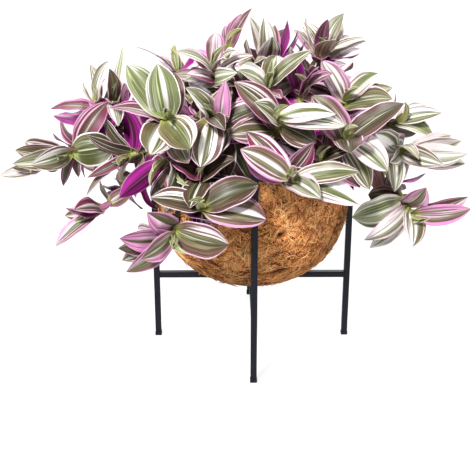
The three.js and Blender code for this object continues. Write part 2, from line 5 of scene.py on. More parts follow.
import bpy
import mathutils
import numpy as np
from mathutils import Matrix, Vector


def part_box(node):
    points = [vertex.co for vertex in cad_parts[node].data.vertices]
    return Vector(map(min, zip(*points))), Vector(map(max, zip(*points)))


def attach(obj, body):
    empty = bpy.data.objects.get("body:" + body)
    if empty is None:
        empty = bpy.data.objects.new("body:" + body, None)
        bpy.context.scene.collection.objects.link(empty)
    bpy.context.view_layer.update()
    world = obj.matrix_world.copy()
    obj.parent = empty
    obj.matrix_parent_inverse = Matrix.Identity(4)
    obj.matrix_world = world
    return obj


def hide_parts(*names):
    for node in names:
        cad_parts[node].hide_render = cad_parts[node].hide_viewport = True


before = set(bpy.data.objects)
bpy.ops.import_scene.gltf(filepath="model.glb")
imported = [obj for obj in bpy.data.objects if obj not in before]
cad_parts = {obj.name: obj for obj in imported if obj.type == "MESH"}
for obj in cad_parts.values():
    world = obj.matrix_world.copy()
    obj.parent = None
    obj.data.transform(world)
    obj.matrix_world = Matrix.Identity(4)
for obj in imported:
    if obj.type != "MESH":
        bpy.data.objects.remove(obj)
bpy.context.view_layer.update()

# Millimetres in a metre
MILLIMETRES = 1000.0

# Lengths in millimetres, shares and directions that the frame was built with
LEG_CENTRE = 129
LEG_HEIGHT = 290
BRACE_TOP = 96
BOWL_RADIUS = 124.7
BOWL_BOTTOM_RADIUS = 36
BOWL_CURVE_HEIGHT = 115
BOWL_RIM = 268
BOWL_WALL = 9
BOWL_ROUNDNESS = 2.3
SOIL_TOP = 250
STEM_ROOT_RADIUS = 2.9
STEM_TIP_RADIUS = 2.4
STEM_RISE = 0.42
STEM_ARRIVAL = 0.3
RIM_LIFT = 1.1
RIM_HEADROOM = 25
ROOT_DEPTH = 12
ROOT_COLLAR = 2
NODE_SPACING = 3
LEAF_THICKNESS = 1
OUTER_ROWS = (0.3, 0.7)
LEAF_BASE_WIDTH = 0.1
LEAF_WIDEST = 0.4
LEAF_TAPER = 1.3
LOWEST_PLACE = 0.05
VIEWPOINT = np.array((-31.0, -1259.0, 671.0))
UP = np.array((0.0, 0.0, 1.0))
ACROSS = np.array((1.0, 0.0, 0.0))
ALMOST_ALONG = 0.15

# Least length that a vector is divided by
ALMOST_NOTHING = 1e-9

# The least value and the spread of a leaf's arch, and of its fold and twist in degrees
LEAF_ARCH = (0.07, 0.09)
LEAF_FOLD = (8, 14)
LEAF_TWIST = (-12, 24)

# Factors of the repeatable draws that the frame was built with
DRAW_FACTORS = (12.9898, 78.233, 43758.5453)

# Shoots that show from the front, each with its heart, the way it grows as clock and lean, a
# look for each leaf as in LOOKS, and its leaves as clock, lean, reach of the tip from the heart,
# width and turn. Clock and lean are as seen from the viewpoint, in degrees. The looks were matched
# to how bright each leaf shows, so whiter looks on well lit leaves and dark looks on shaded ones
# are partly painted light and shade.
SHOOTS = {
    "rosette": ((-102, -130, 347), (90, 64), "slslgb", [
        (125, 0, 76, 34, 0), (306, 35, 52, 40, 0), (98, 0, 64, 36, 0), (244, 40, 50, 40, 0),
        (78, -25, 60, 30, 0), (168, 0, 66, 24, 20)]),
    "white_left": ((-53, -115, 345), (90, 58), "ldg", [
        (129, 40, 55, 22, 0), (318, 60, 46, 20, 0), (259, 20, 62, 40, 0)]),
    "white_front": ((40, -165, 285), (90, 60), "pplbwpwb", [
        (150, 10, 68, 31, 0), (60, 60, 26, 20, 0), (8, 0, 78, 26, 0), (134, 0, 78, 29, 0),
        (341, 0, 82, 35, 0), (352, -10, 76, 28, 0), (329, 35, 48, 28, 0), (160, -38, 56, 30, 130)]),
    "pink_front": ((-96, -165, 216), (275, 62), "ppdgpp", [
        (181, 10, 62, 29, 0), (214, 35, 54, 28, 0), (191, -8, 66, 25, 0), (350, 10, 66, 40, 0),
        (136, 40, 52, 28, 0), (204, 5, 70, 30, 0)]),
    "pink_centre": ((-63, -165, 250), (90, 66), "dpgd", [
        (22, 5, 72, 36, 0), (350, 15, 76, 42, 0), (10, -20, 70, 28, 0), (167, 10, 60, 28, 0)]),
    "middle_arch": ((25, -130, 346), (100, 60), "wwgld", [
        (6, -8, 68, 25, 0), (355, 0, 80, 28, 0), (140, 12, 66, 31, 0), (152, 58, 46, 25, 0),
        (330, -20, 56, 34, 0)]),
    "right_arch": ((108, -110, 318), (90, 54), "mwddpl", [
        (8, 55, 44, 20, 170), (323, 20, 62, 34, 0), (285, 62, 38, 34, 0), (33, 0, 77, 31, 0),
        (132, 0, 64, 36, 0), (296, -15, 70, 30, 0)]),
    "right_low": ((197, -80, 210), (310, 62), "pplwwpsl", [
        (9, 0, 72, 26, 0), (21, -5, 72, 22, 0), (275, 40, 52, 30, 0), (223, 12, 68, 26, 0),
        (213, 0, 72, 24, 0), (66, 50, 46, 30, 0), (187, 5, 74, 38, 0), (160, -15, 62, 30, 0)]),
    "right_reach": ((191, -60, 282), (350, 55), "wwlwllwlw", [
        (17, 10, 66, 28, 0), (3, 0, 72, 29, 0), (27, -20, 60, 28, 0), (353, -10, 72, 26, 0),
        (337, 35, 54, 25, 0), (208, 55, 42, 21, 0), (152, 30, 54, 31, 0), (334, 58, 42, 20, 0),
        (254, 40, 50, 25, 0)]),
    "left_reach": ((-232, -60, 282), (200, 58), "gwglombm", [
        (172, -8, 62, 24, 0), (187, 12, 66, 24, 0), (160, -30, 60, 28, 0), (194, 38, 56, 26, 0),
        (8, 10, 62, 40, 0), (262, -30, 46, 12, 0), (48, -5, 84, 30, 0), (296, -35, 40, 12, 0)]),
    "left_tip": ((-262, -40, 264), (200, 42), "wgg", [
        (192, 0, 57, 19, 0), (200, -15, 50, 14, 0), (184, 20, 44, 14, 0)]),
    "left_top": ((-195, -20, 337), (95, 35), "llwwmmb", [
        (72, 25, 58, 21, 0), (97, -30, 56, 19, 0), (119, -50, 48, 18, 0), (125, -40, 52, 20, 0),
        (195, 25, 58, 30, 180), (186, -22, 64, 24, 0), (214, -38, 48, 16, 0)]),
    "left_inner": ((-174, -40, 343), (80, 42), "dplmsm", [
        (92, 30, 46, 20, 0), (74, 45, 46, 16, 0), (281, 45, 42, 19, 0), (238, -20, 52, 35, 180),
        (76, -25, 78, 13, 0), (56, 50, 34, 20, 180)]),
    "left_hang": ((-154, -70, 282), (205, 42), "pbmddd", [
        (221, 0, 70, 14, 40), (205, 5, 56, 13, 0), (95, -8, 60, 32, 180), (118, -35, 62, 20, 0),
        (60, -25, 58, 20, 0), (150, -30, 58, 18, 0)]),
    "bronze_top": ((-48, -60, 388), (90, 42), "plbwwsbw", [
        (87, -38, 56, 21, 0), (40, 48, 50, 23, 0), (144, -45, 52, 22, 0), (156, 30, 58, 24, 0),
        (19, 35, 58, 25, 0), (352, 45, 50, 20, 70), (189, 30, 38, 25, 0), (201, 30, 38, 25, 0)]),
    "purple_spire": ((-31, 20, 394), (75, 15), "bpmp", [
        (60, 0, 60, 14, 20), (70, -30, 56, 16, 0), (83, -42, 50, 14, 0), (97, -20, 44, 16, 0)]),
    "top_fan": ((15, 0, 384), (85, 30), "wplpmmpm", [
        (75, 52, 50, 27, 180), (105, -35, 58, 18, 50), (130, 48, 52, 25, 180),
        (76, -35, 58, 18, 40), (62, -15, 60, 20, 150), (44, -5, 56, 18, 120),
        (166, 58, 45, 18, 0), (28, 0, 56, 18, 120)]),
    "top_front": ((16, -70, 370), (80, 50), "llwbbb", [
        (74, -42, 52, 25, 0), (39, 0, 68, 20, 0), (152, 38, 50, 34, 0), (318, 50, 34, 16, 0),
        (255, 15, 54, 30, 0), (300, 5, 58, 30, 0)]),
    "magenta_fold": ((59, -60, 356), (80, 40), "mpmmb", [
        (119, -40, 54, 25, 0), (37, 38, 54, 28, 0), (152, -20, 56, 36, 180),
        (300, 20, 56, 28, 180), (240, 0, 50, 26, 0)]),
    "top_right": ((84, -10, 392), (85, 25), "lwlwbwwpmw", [
        (123, -25, 58, 22, 0), (64, -20, 60, 22, 0), (112, 25, 58, 21, 180), (54, 28, 56, 22, 0),
        (95, 48, 44, 22, 0), (39, -35, 55, 21, 0), (20, 25, 58, 25, 0), (12, -30, 58, 22, 0),
        (352, 42, 52, 28, 180), (163, 42, 52, 25, 180)]),
    "right_top": ((110, -60, 348), (85, 45), "wpglgl", [
        (42, -25, 58, 26, 0), (122, 0, 58, 29, 0), (161, 35, 56, 26, 0), (5, 22, 60, 34, 0),
        (179, 42, 54, 25, 0), (18, -15, 62, 28, 0)]),
    "right_back": ((184, 0, 305), (40, 40), "wlw", [
        (14, 0, 58, 22, 0), (33, -38, 54, 22, 0), (339, 35, 54, 25, 0)]),
    "left_low": ((-191, -80, 215), (196, 25), "pmpgpg", [
        (216, 0, 70, 21, 0), (175, 48, 46, 26, 180), (172, 38, 52, 18, 0), (185, -35, 54, 21, 0),
        (28, 10, 50, 20, 0), (85, -20, 52, 12, 0)]),
    "magenta_drop": ((-105, -120, 293), (210, 38), "mbmb", [
        (217, 0, 70, 26, 160), (204, -38, 54, 16, 0), (330, 0, 50, 28, 180),
        (290, 20, 48, 28, 0)]),
    "front_drop": ((-94, -125, 289), (270, 50), "lgm", [
        (270, 42, 52, 36, 0), (223, -25, 52, 24, 0), (301, -35, 50, 26, 180)]),
    "pink_spear": ((-40, -100, 328), (90, 50), "pdgdd", [
        (84, 20, 58, 19, 0), (24, 32, 56, 29, 0), (258, 45, 50, 29, 0), (299, 0, 74, 40, 0),
        (274, -10, 66, 28, 0)]),
    "back_purple": ((-96, 30, 366), (100, 0), "mppgp", [
        (48, -25, 30, 24, 180), (115, -48, 46, 12, 0), (149, -45, 50, 20, 0), (151, 0, 62, 14, 0),
        (150, -20, 50, 14, 0)]),
    "front_middle": ((-65, -132, 274), (90, 48), "mddddd", [
        (155, 5, 48, 26, 0), (340, 10, 54, 28, 0), (30, -10, 50, 26, 0), (250, 25, 52, 30, 0),
        (215, 0, 56, 28, 0), (300, -10, 50, 28, 0)]),
    "right_inner": ((82, -98, 287), (100, 50), "bdbmdb", [
        (140, 0, 44, 24, 0), (20, 0, 46, 26, 0), (75, -20, 46, 24, 0), (325, 20, 56, 28, 0),
        (245, 10, 48, 28, 0), (285, -10, 52, 28, 0)]),
}

# Leaves that some shoots have besides: the look, and the same five values as above
ADDED_LEAVES = {
    "pink_front": [("p", (166, -8, 60, 30, 0)), ("p", (216, 4, 68, 24, 0))],
    "top_right": [
        ("m", (6, 36, 52, 20, 160)), ("w", (30, 8, 62, 18, 0)), ("p", (82, 6, 60, 18, 20)),
        ("p", (138, 0, 62, 22, 0)), ("l", (58, -4, 64, 18, 20))],
    "top_fan": [
        ("m", (38, 12, 56, 22, 165)), ("m", (18, 24, 54, 22, 165)), ("w", (118, 4, 58, 22, 0)),
        ("l", (92, 14, 56, 24, 0))],
    "magenta_fold": [("m", (100, 20, 50, 22, 170)), ("p", (62, 8, 52, 20, 0))]}

# Rings of shoots round the back and sides
RINGS = {
    "back_low": {"count": 6, "radius": 190, "height": 232, "from": 28, "to": 152, "outward": 70},
    "back_middle": {"count": 6, "radius": 152, "height": 290, "from": 16, "to": 160, "outward": 45},
    "back_upper": {"count": 4, "radius": 82, "height": 342, "from": 30, "to": 150, "outward": 25},
    "back_crown": {"count": 2, "radius": 30, "height": 356, "from": 60, "to": 240, "outward": 10},
}
RING_ANGLE_SPREAD = 10
RING_RADIUS_SPREAD = 0.16
RING_HEIGHT_SPREAD = 24

# Leaves down a stem: those of a ring's shoot, and one older leaf on each shoot of the front
RING_LEAVES = {
    "count": 7, "first": 2, "gap": 3, "growth": 1.3, "turn": 208, "tilt": 34, "opening": 8,
    "length": 54, "width": 24}
OLDER_LEAVES = {
    "count": 1, "first": 30, "gap": 19, "growth": 0, "turn": 205, "tilt": 72, "opening": 0,
    "length": 48, "width": 26}
TILT_SPREAD = 10
LENGTH_SPREAD = 12
WIDTH_SPREAD = 9
WIDEST_TILT = 84

# Where the keys of each kind of leaf start, so that no two leaves have the same draws
KEYS_PER_SHOOT = 40
OLDER_KEY = 10
RING_KEY = 20
ADDED_KEY = 30
YOUNG_KEY = 36
INNER_KEY = 200.5
INNER_KEY_STEP = 0.37

# How a leaf may be bent clear of the others, the best first: lean, clock, and share of its reach
BENDS = [
    (0, 0, 1), (12, 0, 1), (-12, 0, 1), (24, 0, 1), (-24, 0, 1), (0, 8, 1), (0, -8, 1),
    (12, 8, 1), (-12, -8, 1), (12, -8, 1), (-12, 8, 1), (36, 0, 1), (-36, 0, 1), (0, 0, 0.85),
    (24, 10, 0.9), (-24, -10, 0.9), (24, -10, 0.9), (-24, 10, 0.9), (0, 16, 0.85),
    (0, -16, 0.85), (48, 0, 0.9), (-48, 0, 0.9), (0, 0, 0.7), (20, 16, 0.7), (-20, -16, 0.7)]

# How many of the first bends a leaf has that the frame had no room for
SLIGHT_BENDS = 13

# For leaves down a stem a lean turns them round it by this many times as much
SWING_PER_LEAN = 3

# How near a worked-out corner of a leaf lies to a corner of the frame's, in millimetres
MATCH = 0.04

# What each letter in a shoot's looks stands for: how white, pink, bronze, dark and magenta.
# The dark share is partly a leaf's own deeper green and partly painted shade, most of all in the d look
LOOKS = {
    "l": (0.43, 0.40, 0.45, 0.35, 0.20),
    "w": (0.60, 0.50, 0.35, 0.25, 0.15),
    "p": (0.50, 1.02, 0.70, 0.80, 0.80),
    "g": (0.27, 0.55, 0.65, 0.80, 0.55),
    "d": (0.08, 0.40, 0.45, 1.25, 0.80),
    "b": (0.30, 0.85, 1.50, 1.05, 0.95),
    "m": (0.38, 1.10, 1.40, 0.95, 1.00),
    "s": (0.34, 0.20, 0.12, -0.50, 0.30),
    "o": (0.15, 0.10, 0.10, 0.75, 0.40),
    "y": (0.34, 0.15, -0.60, 0.00, 0.00),
}
MIXED_LOOKS = "lgwpglwpdwgb"
# Inner leaves take mostly dark looks, as painted shade deep in the foliage
SHADED_INNER_LOOKS = "dbmdgmdbbdpm"
YOUNG_LOOK = "y"
WHITE_SPREAD = 0.16
DARK_SPREAD = 0.3
PINK_SHARE = (0.6, 0.8)

# Leaves that the frame had no room for are added where at most this share of them meets others
MISSING_LIMIT = 0.22

# Inner leaves: where they start and end along a stem, their trials, and how much may clash
INNER_FIRST = 24
INNER_LAST = 14
INNER_GAP = 11
INNER_GAP_SHARE = (0.7, 0.6)
INNER_TILT = (40, 45)
INNER_SWING = 150
INNER_LENGTH = (42, 20)
INNER_SLIMNESS = (0.42, 0.1)
INNER_TRIALS = 26
INNER_LIMIT = 0.14
SPOIL_WEIGHT = 0.8

# Young leaves: how far they open from the stem, and their size
YOUNG_COUNT = 2
YOUNG_TILT = 10
YOUNG_OPENING = 14
YOUNG_LENGTH = 24
YOUNG_GROWTH = 9
YOUNG_LENGTH_SPREAD = 6
YOUNG_SLIMNESS = 0.34
YOUNG_OPENNESS = 3.2

# Fine blade: its rows and columns, its outline, and its thicknesses in millimetres
BLADE_ROWS = np.array((
    0, 0.03, 0.07, 0.12, 0.18, 0.25, 0.33, 0.41, 0.49, 0.57, 0.65, 0.72, 0.79, 0.85, 0.9, 0.945,
    0.98, 1.0))
BLADE_COLUMNS = np.array((-1, -0.94, -0.64, -0.2, 0, 0.2, 0.64, 0.94, 1))
CLASP_HALF_WIDTH = 4.2
CLASP_WIDEST = 0.3
CLASP_LENGTH = 0.16
CLASP_FOLD = math.radians(58)
BLADE_WIDEST = 0.4
BLADE_TAPER = (1.4, 2.1)
BLADE_TAPER_WIDTHS = (24, 40)
BLADE_BREADTH = 1.08
BLADE_FOLD = 0.65
BLADE_CUP = 1.3
BLADE_TIP = 0.02
RIB_THICKNESS = 0.9
MARGIN_THICKNESS = 0.45
TIP_THINNING = 0.6
GROOVE_DEPTH = 0.45
GROOVE_WIDTH = 0.12
MARGIN_WAVE = 0.09
WAVES_ALONG = (1.2, 1.4)
WAVE_SHIFT = 6.3

# Fine stems and the sheaths that clasp them, with lengths in millimetres
MOST_ACROSS = 0.9
STEM_SIDES = 10
STEM_STEPS = 40
STEM_END = 0.6
JOINT_SWELL = 0.5
JOINT_REACH = 2.2
SHEATH_LENGTH = 7
SHEATH_ABOVE = 0.15
SHEATH_LOWEST = 0.01
SHEATH_PROUD = 0.75
SHEATH_PROFILE = np.array((0.15, 0.45, 0.7, 0.9, 1.0))
SHEATH_PLACES = 24


def draw(key, use):
    """A repeatable draw between 0 and 1, one for each key and each use that it is put to."""
    value = math.sin(key * DRAW_FACTORS[0] + use * DRAW_FACTORS[1]) * DRAW_FACTORS[2]
    return value - math.floor(value)


def draw_in(least_and_spread, key, use):
    return least_and_spread[0] + least_and_spread[1] * draw(key, use)


def draw_round(spread, key, use):
    """A repeatable draw round 0."""
    return spread * (draw(key, use) - 0.5)


def draw_look(looks, key, use):
    return looks[int(len(looks) * draw(key, use))]


def unit(vector):
    return vector / np.linalg.norm(vector)


def units(vectors):
    """Each of the last axis's vectors at a length of 1."""
    lengths = np.linalg.norm(vectors, axis=-1, keepdims=True)
    return vectors / np.maximum(ALMOST_NOTHING, lengths)


def turned(vector, axis, angle):
    """A vector turned about a unit axis by an angle in radians."""
    along = axis * (axis @ vector) * (1 - math.cos(angle))
    return vector * math.cos(angle) + np.cross(axis, vector) * math.sin(angle) + along


def view_frame(at):
    """Right, up and towards the viewpoint, as seen from the viewpoint at a place."""
    toward = unit(VIEWPOINT - at)
    right = unit(np.cross(UP, toward))
    return right, np.cross(toward, right), toward


def seen_direction(axes, clock, lean):
    right, above, toward = axes
    clock = math.radians(clock)
    lean = math.radians(lean)
    flat = right * math.cos(clock) + above * math.sin(clock)
    return flat * math.cos(lean) + toward * math.sin(lean)


class Shoot:
    """A shoot: its place in the frame's order, its heart, the way it grows, and its leaves."""

    def __init__(self, number, name, heart, axis, looks="", rows=()):
        self.number = number
        self.first_key = number * KEYS_PER_SHOOT
        self.name = name
        self.heart = heart
        self.axis = axis
        self.looks = looks
        self.rows = rows
        self.leaves = []
        self.missing = []


def list_shoots():
    """All shoots in the order of the frame."""
    shoots = []
    for name, (heart, grows, looks, rows) in SHOOTS.items():
        heart = np.array(heart, dtype=float)
        axis = seen_direction(view_frame(heart), *grows)
        shoots.append(Shoot(len(shoots), name, heart, axis, looks, rows))
    for ring, plan in RINGS.items():
        for i in range(plan["count"]):
            number = len(shoots)
            even = plan["from"] + (plan["to"] - plan["from"]) * i / (plan["count"] - 1)
            angle = math.radians(even + draw_round(RING_ANGLE_SPREAD, number, 11))
            distance = plan["radius"] * (1 + draw_round(RING_RADIUS_SPREAD, number, 12))
            height = plan["height"] + draw_round(RING_HEIGHT_SPREAD, number, 13)
            out = np.array((math.cos(angle), math.sin(angle), 0.0))
            outward = math.radians(plan["outward"])
            axis = out * math.sin(outward) + UP * math.cos(outward)
            shoots.append(Shoot(number, f"{ring}_{i + 1}", out * distance + UP * height, axis))
    return shoots


def stand_middle():
    """The middle of the stand in the frame, in metres."""
    front_low, front_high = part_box("leg_front")
    left_low, left_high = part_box("leg_left")
    middle_x = (front_low[0] + front_high[0]) / 2
    middle_y = (left_low[1] + left_high[1]) / 2
    return np.array((middle_x, middle_y, 0.0))


MIDDLE = stand_middle()


def packed_corners(node):
    """The corners of a frame node, in millimetres round the middle of the stand."""
    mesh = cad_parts[node].data
    corners = np.zeros(len(mesh.vertices) * 3, np.float32)
    mesh.vertices.foreach_get("co", corners)
    return (corners.reshape(-1, 3).astype(float) - MIDDLE) * MILLIMETRES


class Stem:
    """The curve of a stem, from the soil to the heart of its shoot."""

    SHARES = np.linspace(0, 1, 61)
    TANGENT_STEP = 0.0001

    def __init__(self, root, heart, axis):
        start = np.array((root[0], root[1], SOIL_TOP))
        reach = np.linalg.norm(start - heart)
        rise = STEM_RISE * reach + RIM_LIFT * max(0, BOWL_RIM + RIM_HEADROOM - heart[2])
        start = start + UP * ROOT_COLLAR
        self.knots = (start, start + UP * rise, heart - axis * (STEM_ARRIVAL * reach), heart)
        self.speed_at_heart = 3 * np.linalg.norm(self.knots[3] - self.knots[2])
        steps = np.diff(np.array([self.point(t) for t in self.SHARES]), axis=0)
        self.lengths = np.concatenate(((0,), np.cumsum(np.linalg.norm(steps, axis=1))))

    def point(self, t):
        a, b, c, d = self.knots
        s = 1 - t
        return a * s ** 3 + b * 3 * s * s * t + c * 3 * s * t * t + d * t ** 3

    def tangent(self, t):
        t = (max(0, t - self.TANGENT_STEP) + min(1, t + self.TANGENT_STEP)) / 2
        a, b, c, d = self.knots
        s = 1 - t
        return unit((b - a) * s * s + (c - b) * 2 * s * t + (d - c) * t * t)

    def place(self, down):
        """The share of the curve at a distance down from the heart."""
        return max(LOWEST_PLACE, 1 - down / self.speed_at_heart)

    def share_at(self, down):
        """The share of the curve at a true distance down from the heart."""
        return float(np.interp(self.lengths[-1] - down, self.lengths, self.SHARES))


def radius_of_stem(t):
    return STEM_ROOT_RADIUS + (STEM_TIP_RADIUS - STEM_ROOT_RADIUS) * t


class Leaf:
    """A leaf on a stem, with its face turned to the way the shoot grows."""

    def __init__(self, base, along, axis, length, width, turn, key):
        face = axis - along * (axis @ along)
        if np.linalg.norm(face) < ALMOST_ALONG:
            face = UP - along * along[2]
        self.face = turned(unit(face), along, math.radians(turn))
        self.base = base
        self.along = along
        self.length = length
        self.width = width
        self.key = key
        self.arch = draw_in(LEAF_ARCH, key, 1)
        self.fold = math.radians(draw_in(LEAF_FOLD, key, 2))
        self.twist = math.radians(draw_in(LEAF_TWIST, key, 3))
        self.openness = BLADE_FOLD


def frame_width(u):
    swell = math.sin(math.pi / 2 * min(1, u / LEAF_WIDEST))
    rest = max(0, (u - LEAF_WIDEST) / (1 - LEAF_WIDEST))
    taper = math.cos(math.pi / 2 * rest ** LEAF_TAPER)
    return (LEAF_BASE_WIDTH + (1 - LEAF_BASE_WIDTH) * swell) * taper


def outer_corners(leaf):
    """The corners that the frame gives a leaf past its root, with its tip last."""
    corners = []
    for u in OUTER_ROWS:
        rise = leaf.length * leaf.arch * 4 * u * (1 - u)
        centre = leaf.base + leaf.along * leaf.length * u + leaf.face * rise
        tangent = unit(leaf.along + leaf.face * leaf.arch * 4 * (1 - 2 * u))
        side = turned(np.cross(leaf.along, leaf.face), leaf.along, leaf.twist * u)
        side = unit(side - tangent * (side @ tangent))
        reach = leaf.width / 2 * frame_width(u)
        flat = side * reach * math.cos(leaf.fold)
        raised = np.cross(side, tangent) * max(LEAF_THICKNESS, reach * math.sin(leaf.fold))
        corners += [centre - flat + raised, centre + flat + raised, centre]
    corners.append(leaf.base + leaf.along * leaf.length)
    return np.array(corners)


def grown(leaves, packed):
    """The one of the bent leaves that the frame holds, or None if it holds none of them."""
    best = None
    most = 0
    for leaf in leaves:
        gaps = np.linalg.norm(packed[None] - outer_corners(leaf)[:, None], axis=2).min(axis=1)
        matched = int((gaps < MATCH).sum())
        if matched > most:
            most = matched
            best = leaf
    return best


def seen_leaf(shoot, row, count, key):
    """A leaf given by where its tip shows from the viewpoint, in each of its bends."""
    clock, lean, reach, width, turn = row
    base = shoot.stem.point(shoot.stem.place(NODE_SPACING * count))
    axes = view_frame(shoot.heart)
    leaves = []
    for leaning, sideways, scale in BENDS:
        tip = shoot.heart + seen_direction(axes, clock + sideways, lean + leaning) * reach * scale
        along = tip - base
        length = np.linalg.norm(along)
        leaves.append(Leaf(base, unit(along), shoot.axis, length, width, turn, key))
    return leaves


def stem_direction(tangent, around, tilt):
    """A direction given by its turn round a stem and its tilt away from it, in degrees."""
    out = UP - tangent * tangent[2]
    if np.linalg.norm(out) < ALMOST_ALONG:
        out = ACROSS - tangent * tangent[0]
    out = turned(unit(out), tangent, math.radians(around))
    return out * math.sin(math.radians(tilt)) + tangent * math.cos(math.radians(tilt))


def stem_leaves(shoot, plan, first_key):
    """Alternate leaves down a stem, each in each of its bends."""
    start = 360 * draw(shoot.number, first_key)
    found = []
    for i in range(plan["count"]):
        key = shoot.first_key + first_key + i
        t = shoot.stem.place(plan["first"] + plan["gap"] * i + plan["growth"] * i * i)
        base = shoot.stem.point(t)
        tangent = shoot.stem.tangent(t)
        tilt = plan["tilt"] + plan["opening"] * i + TILT_SPREAD * draw(key, 4)
        tilt = min(tilt, WIDEST_TILT)
        length = plan["length"] + LENGTH_SPREAD * draw(key, 5)
        width = plan["width"] + WIDTH_SPREAD * draw(key, 6)
        around = start + plan["turn"] * i
        leaves = []
        for leaning, sideways, scale in BENDS:
            swing = around + leaning * SWING_PER_LEAN
            along = stem_direction(tangent, swing, tilt + sideways)
            leaves.append(Leaf(base, along, tangent, length * scale, width, 0, key))
        found.append(leaves)
    return found


def find_root(packed):
    """The middle of the ring of corners at the foot of a shoot's stem."""
    bottom = packed[np.abs(packed[:, 2] - (SOIL_TOP - ROOT_DEPTH)) < MATCH]
    gaps = np.linalg.norm(bottom[:, None] - bottom[None], axis=2)
    near = gaps < 2 * STEM_ROOT_RADIUS + MATCH
    ring = bottom[near[near.sum(axis=1).argmax()]]
    return (ring.min(axis=0) + ring.max(axis=0)) / 2


def grow(shoot):
    """Finds a shoot's root in the frame and then the leaves that the frame holds."""
    packed = packed_corners("shoot_" + shoot.name)
    shoot.root = find_root(packed)
    shoot.stem = Stem(shoot.root, shoot.heart, shoot.axis)
    for i, (look, row) in enumerate(ADDED_LEAVES.get(shoot.name, ())):
        key = shoot.first_key + ADDED_KEY + i
        shoot.missing.append((look, seen_leaf(shoot, row, i, key)))
    choices = []
    for i, (look, row) in enumerate(zip(shoot.looks, shoot.rows)):
        choices.append((look, seen_leaf(shoot, row, i, shoot.first_key + i)))
    plan, key = (OLDER_LEAVES, OLDER_KEY) if shoot.rows else (RING_LEAVES, RING_KEY)
    for i, leaves in enumerate(stem_leaves(shoot, plan, key)):
        choices.append((draw_look(MIXED_LOOKS, shoot.first_key + key + i, 21), leaves))
    for look, leaves in choices:
        leaf = grown(leaves, packed)
        if leaf is None:
            shoot.missing.append((look, leaves))
        else:
            leaf.look = look
            shoot.leaves.append(leaf)


def place_object(name, data):
    made = bpy.data.objects.new(name, data)
    bpy.context.scene.collection.objects.link(made)
    return made


def stand_for(piece, node):
    """Puts a piece on the one body in place of a frame node, and hides the node."""
    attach(piece, "root")
    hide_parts(node)


# How many traits each point of a piece has
TRAITS = 6


class Pile:
    """The points and faces of one piece, gathered part by part."""

    def __init__(self):
        self.points = []
        self.faces = []
        self.kinds = []
        self.uvs = []
        self.traits = []
        self.count = 0

    def add(self, points, faces, kind, uvs=None, traits=None):
        """kind is a material's place, for all faces or one each. traits go to every point."""
        self.points.append(points)
        self.faces.append([tuple(i + self.count for i in face) for face in faces])
        self.kinds.append(np.full(len(faces), kind) if np.isscalar(kind) else kind)
        self.uvs.append(np.zeros((len(points), 2)) if uvs is None else uvs)
        traits = np.zeros(TRAITS) if traits is None else np.asarray(traits, dtype=float)
        self.traits.append(np.broadcast_to(traits, (len(points), TRAITS)))
        self.count += len(points)

    def piece(self, name, materials):
        """Makes the object, with two vector attributes that hold the traits."""
        mesh = bpy.data.meshes.new(name)
        points = np.concatenate(self.points) / MILLIMETRES + MIDDLE
        faces = [face for part in self.faces for face in part]
        mesh.from_pydata(points.tolist(), [], faces)
        for material in materials:
            mesh.materials.append(material)
        mesh.polygons.foreach_set("material_index", np.concatenate(self.kinds).astype(np.int32))
        mesh.polygons.foreach_set("use_smooth", np.ones(len(faces), bool))
        corners = np.zeros(len(mesh.loops), np.int32)
        mesh.loops.foreach_get("vertex_index", corners)
        layer = mesh.uv_layers.new(name="shape")
        layer.data.foreach_set("uv", np.concatenate(self.uvs)[corners].astype(np.float32).ravel())
        traits = np.concatenate(self.traits).astype(np.float32)
        for place, title in enumerate(("tone", "trait")):
            values = mesh.attributes.new(title, "FLOAT_VECTOR", "POINT")
            values.data.foreach_set("vector", traits[:, place * 3:place * 3 + 3].ravel())
        mesh.update()
        mesh.validate()
        return place_object(name, mesh)


def even_turns(count):
    return 2 * math.pi * np.arange(count) / count


def ring_points(radius, turn, height):
    return np.stack((radius * np.cos(turn), radius * np.sin(turn), height), axis=-1)


def ring_faces(rings, sides):
    """Faces that join rings of points one after the other, and close the first and the last."""
    faces = []
    for i in range(rings - 1):
        for side in range(sides):
            one = i * sides + side
            two = i * sides + (side + 1) % sides
            faces.append((one, two, two + sides, one + sides))
    faces.append(tuple(reversed(range(sides))))
    last = (rings - 1) * sides
    faces.append(tuple(range(last, last + sides)))
    return faces


def smooth(x):
    x = np.clip(x, 0, 1)
    return x * x * (3 - 2 * x)


def grid_faces(rows, columns):
    """A closed thin sheet: faces of the top, the bottom, both sides, the base and the tip."""
    under = rows * columns
    top = []
    bottom = []
    rim = []
    for r in range(rows - 1):
        for c in range(columns - 1):
            i = r * columns + c
            ring = (i, i + 1, i + columns + 1, i + columns)
            top.append(ring)
            bottom.append(tuple(under + j for j in reversed(ring)))
        left = r * columns
        right = left + columns - 1
        rim.append((left, left + columns, under + left + columns, under + left))
        rim.append((right, under + right, under + right + columns, right + columns))
    last = (rows - 1) * columns
    for c in range(columns - 1):
        rim.append((c, under + c, under + c + 1, c + 1))
        rim.append((last + c, last + c + 1, under + last + c + 1, under + last + c))
    return top, bottom, rim


BLADE_TOP, BLADE_BOTTOM, BLADE_RIM = grid_faces(len(BLADE_ROWS), len(BLADE_COLUMNS))
BLADE_FACES = BLADE_TOP + BLADE_BOTTOM + BLADE_RIM
LEAF_TOP, LEAF_UNDER, STEM_SKIN = range(3)
BLADE_KINDS = np.array(
    [LEAF_TOP] * len(BLADE_TOP) + [LEAF_UNDER] * len(BLADE_BOTTOM) + [LEAF_TOP] * len(BLADE_RIM))


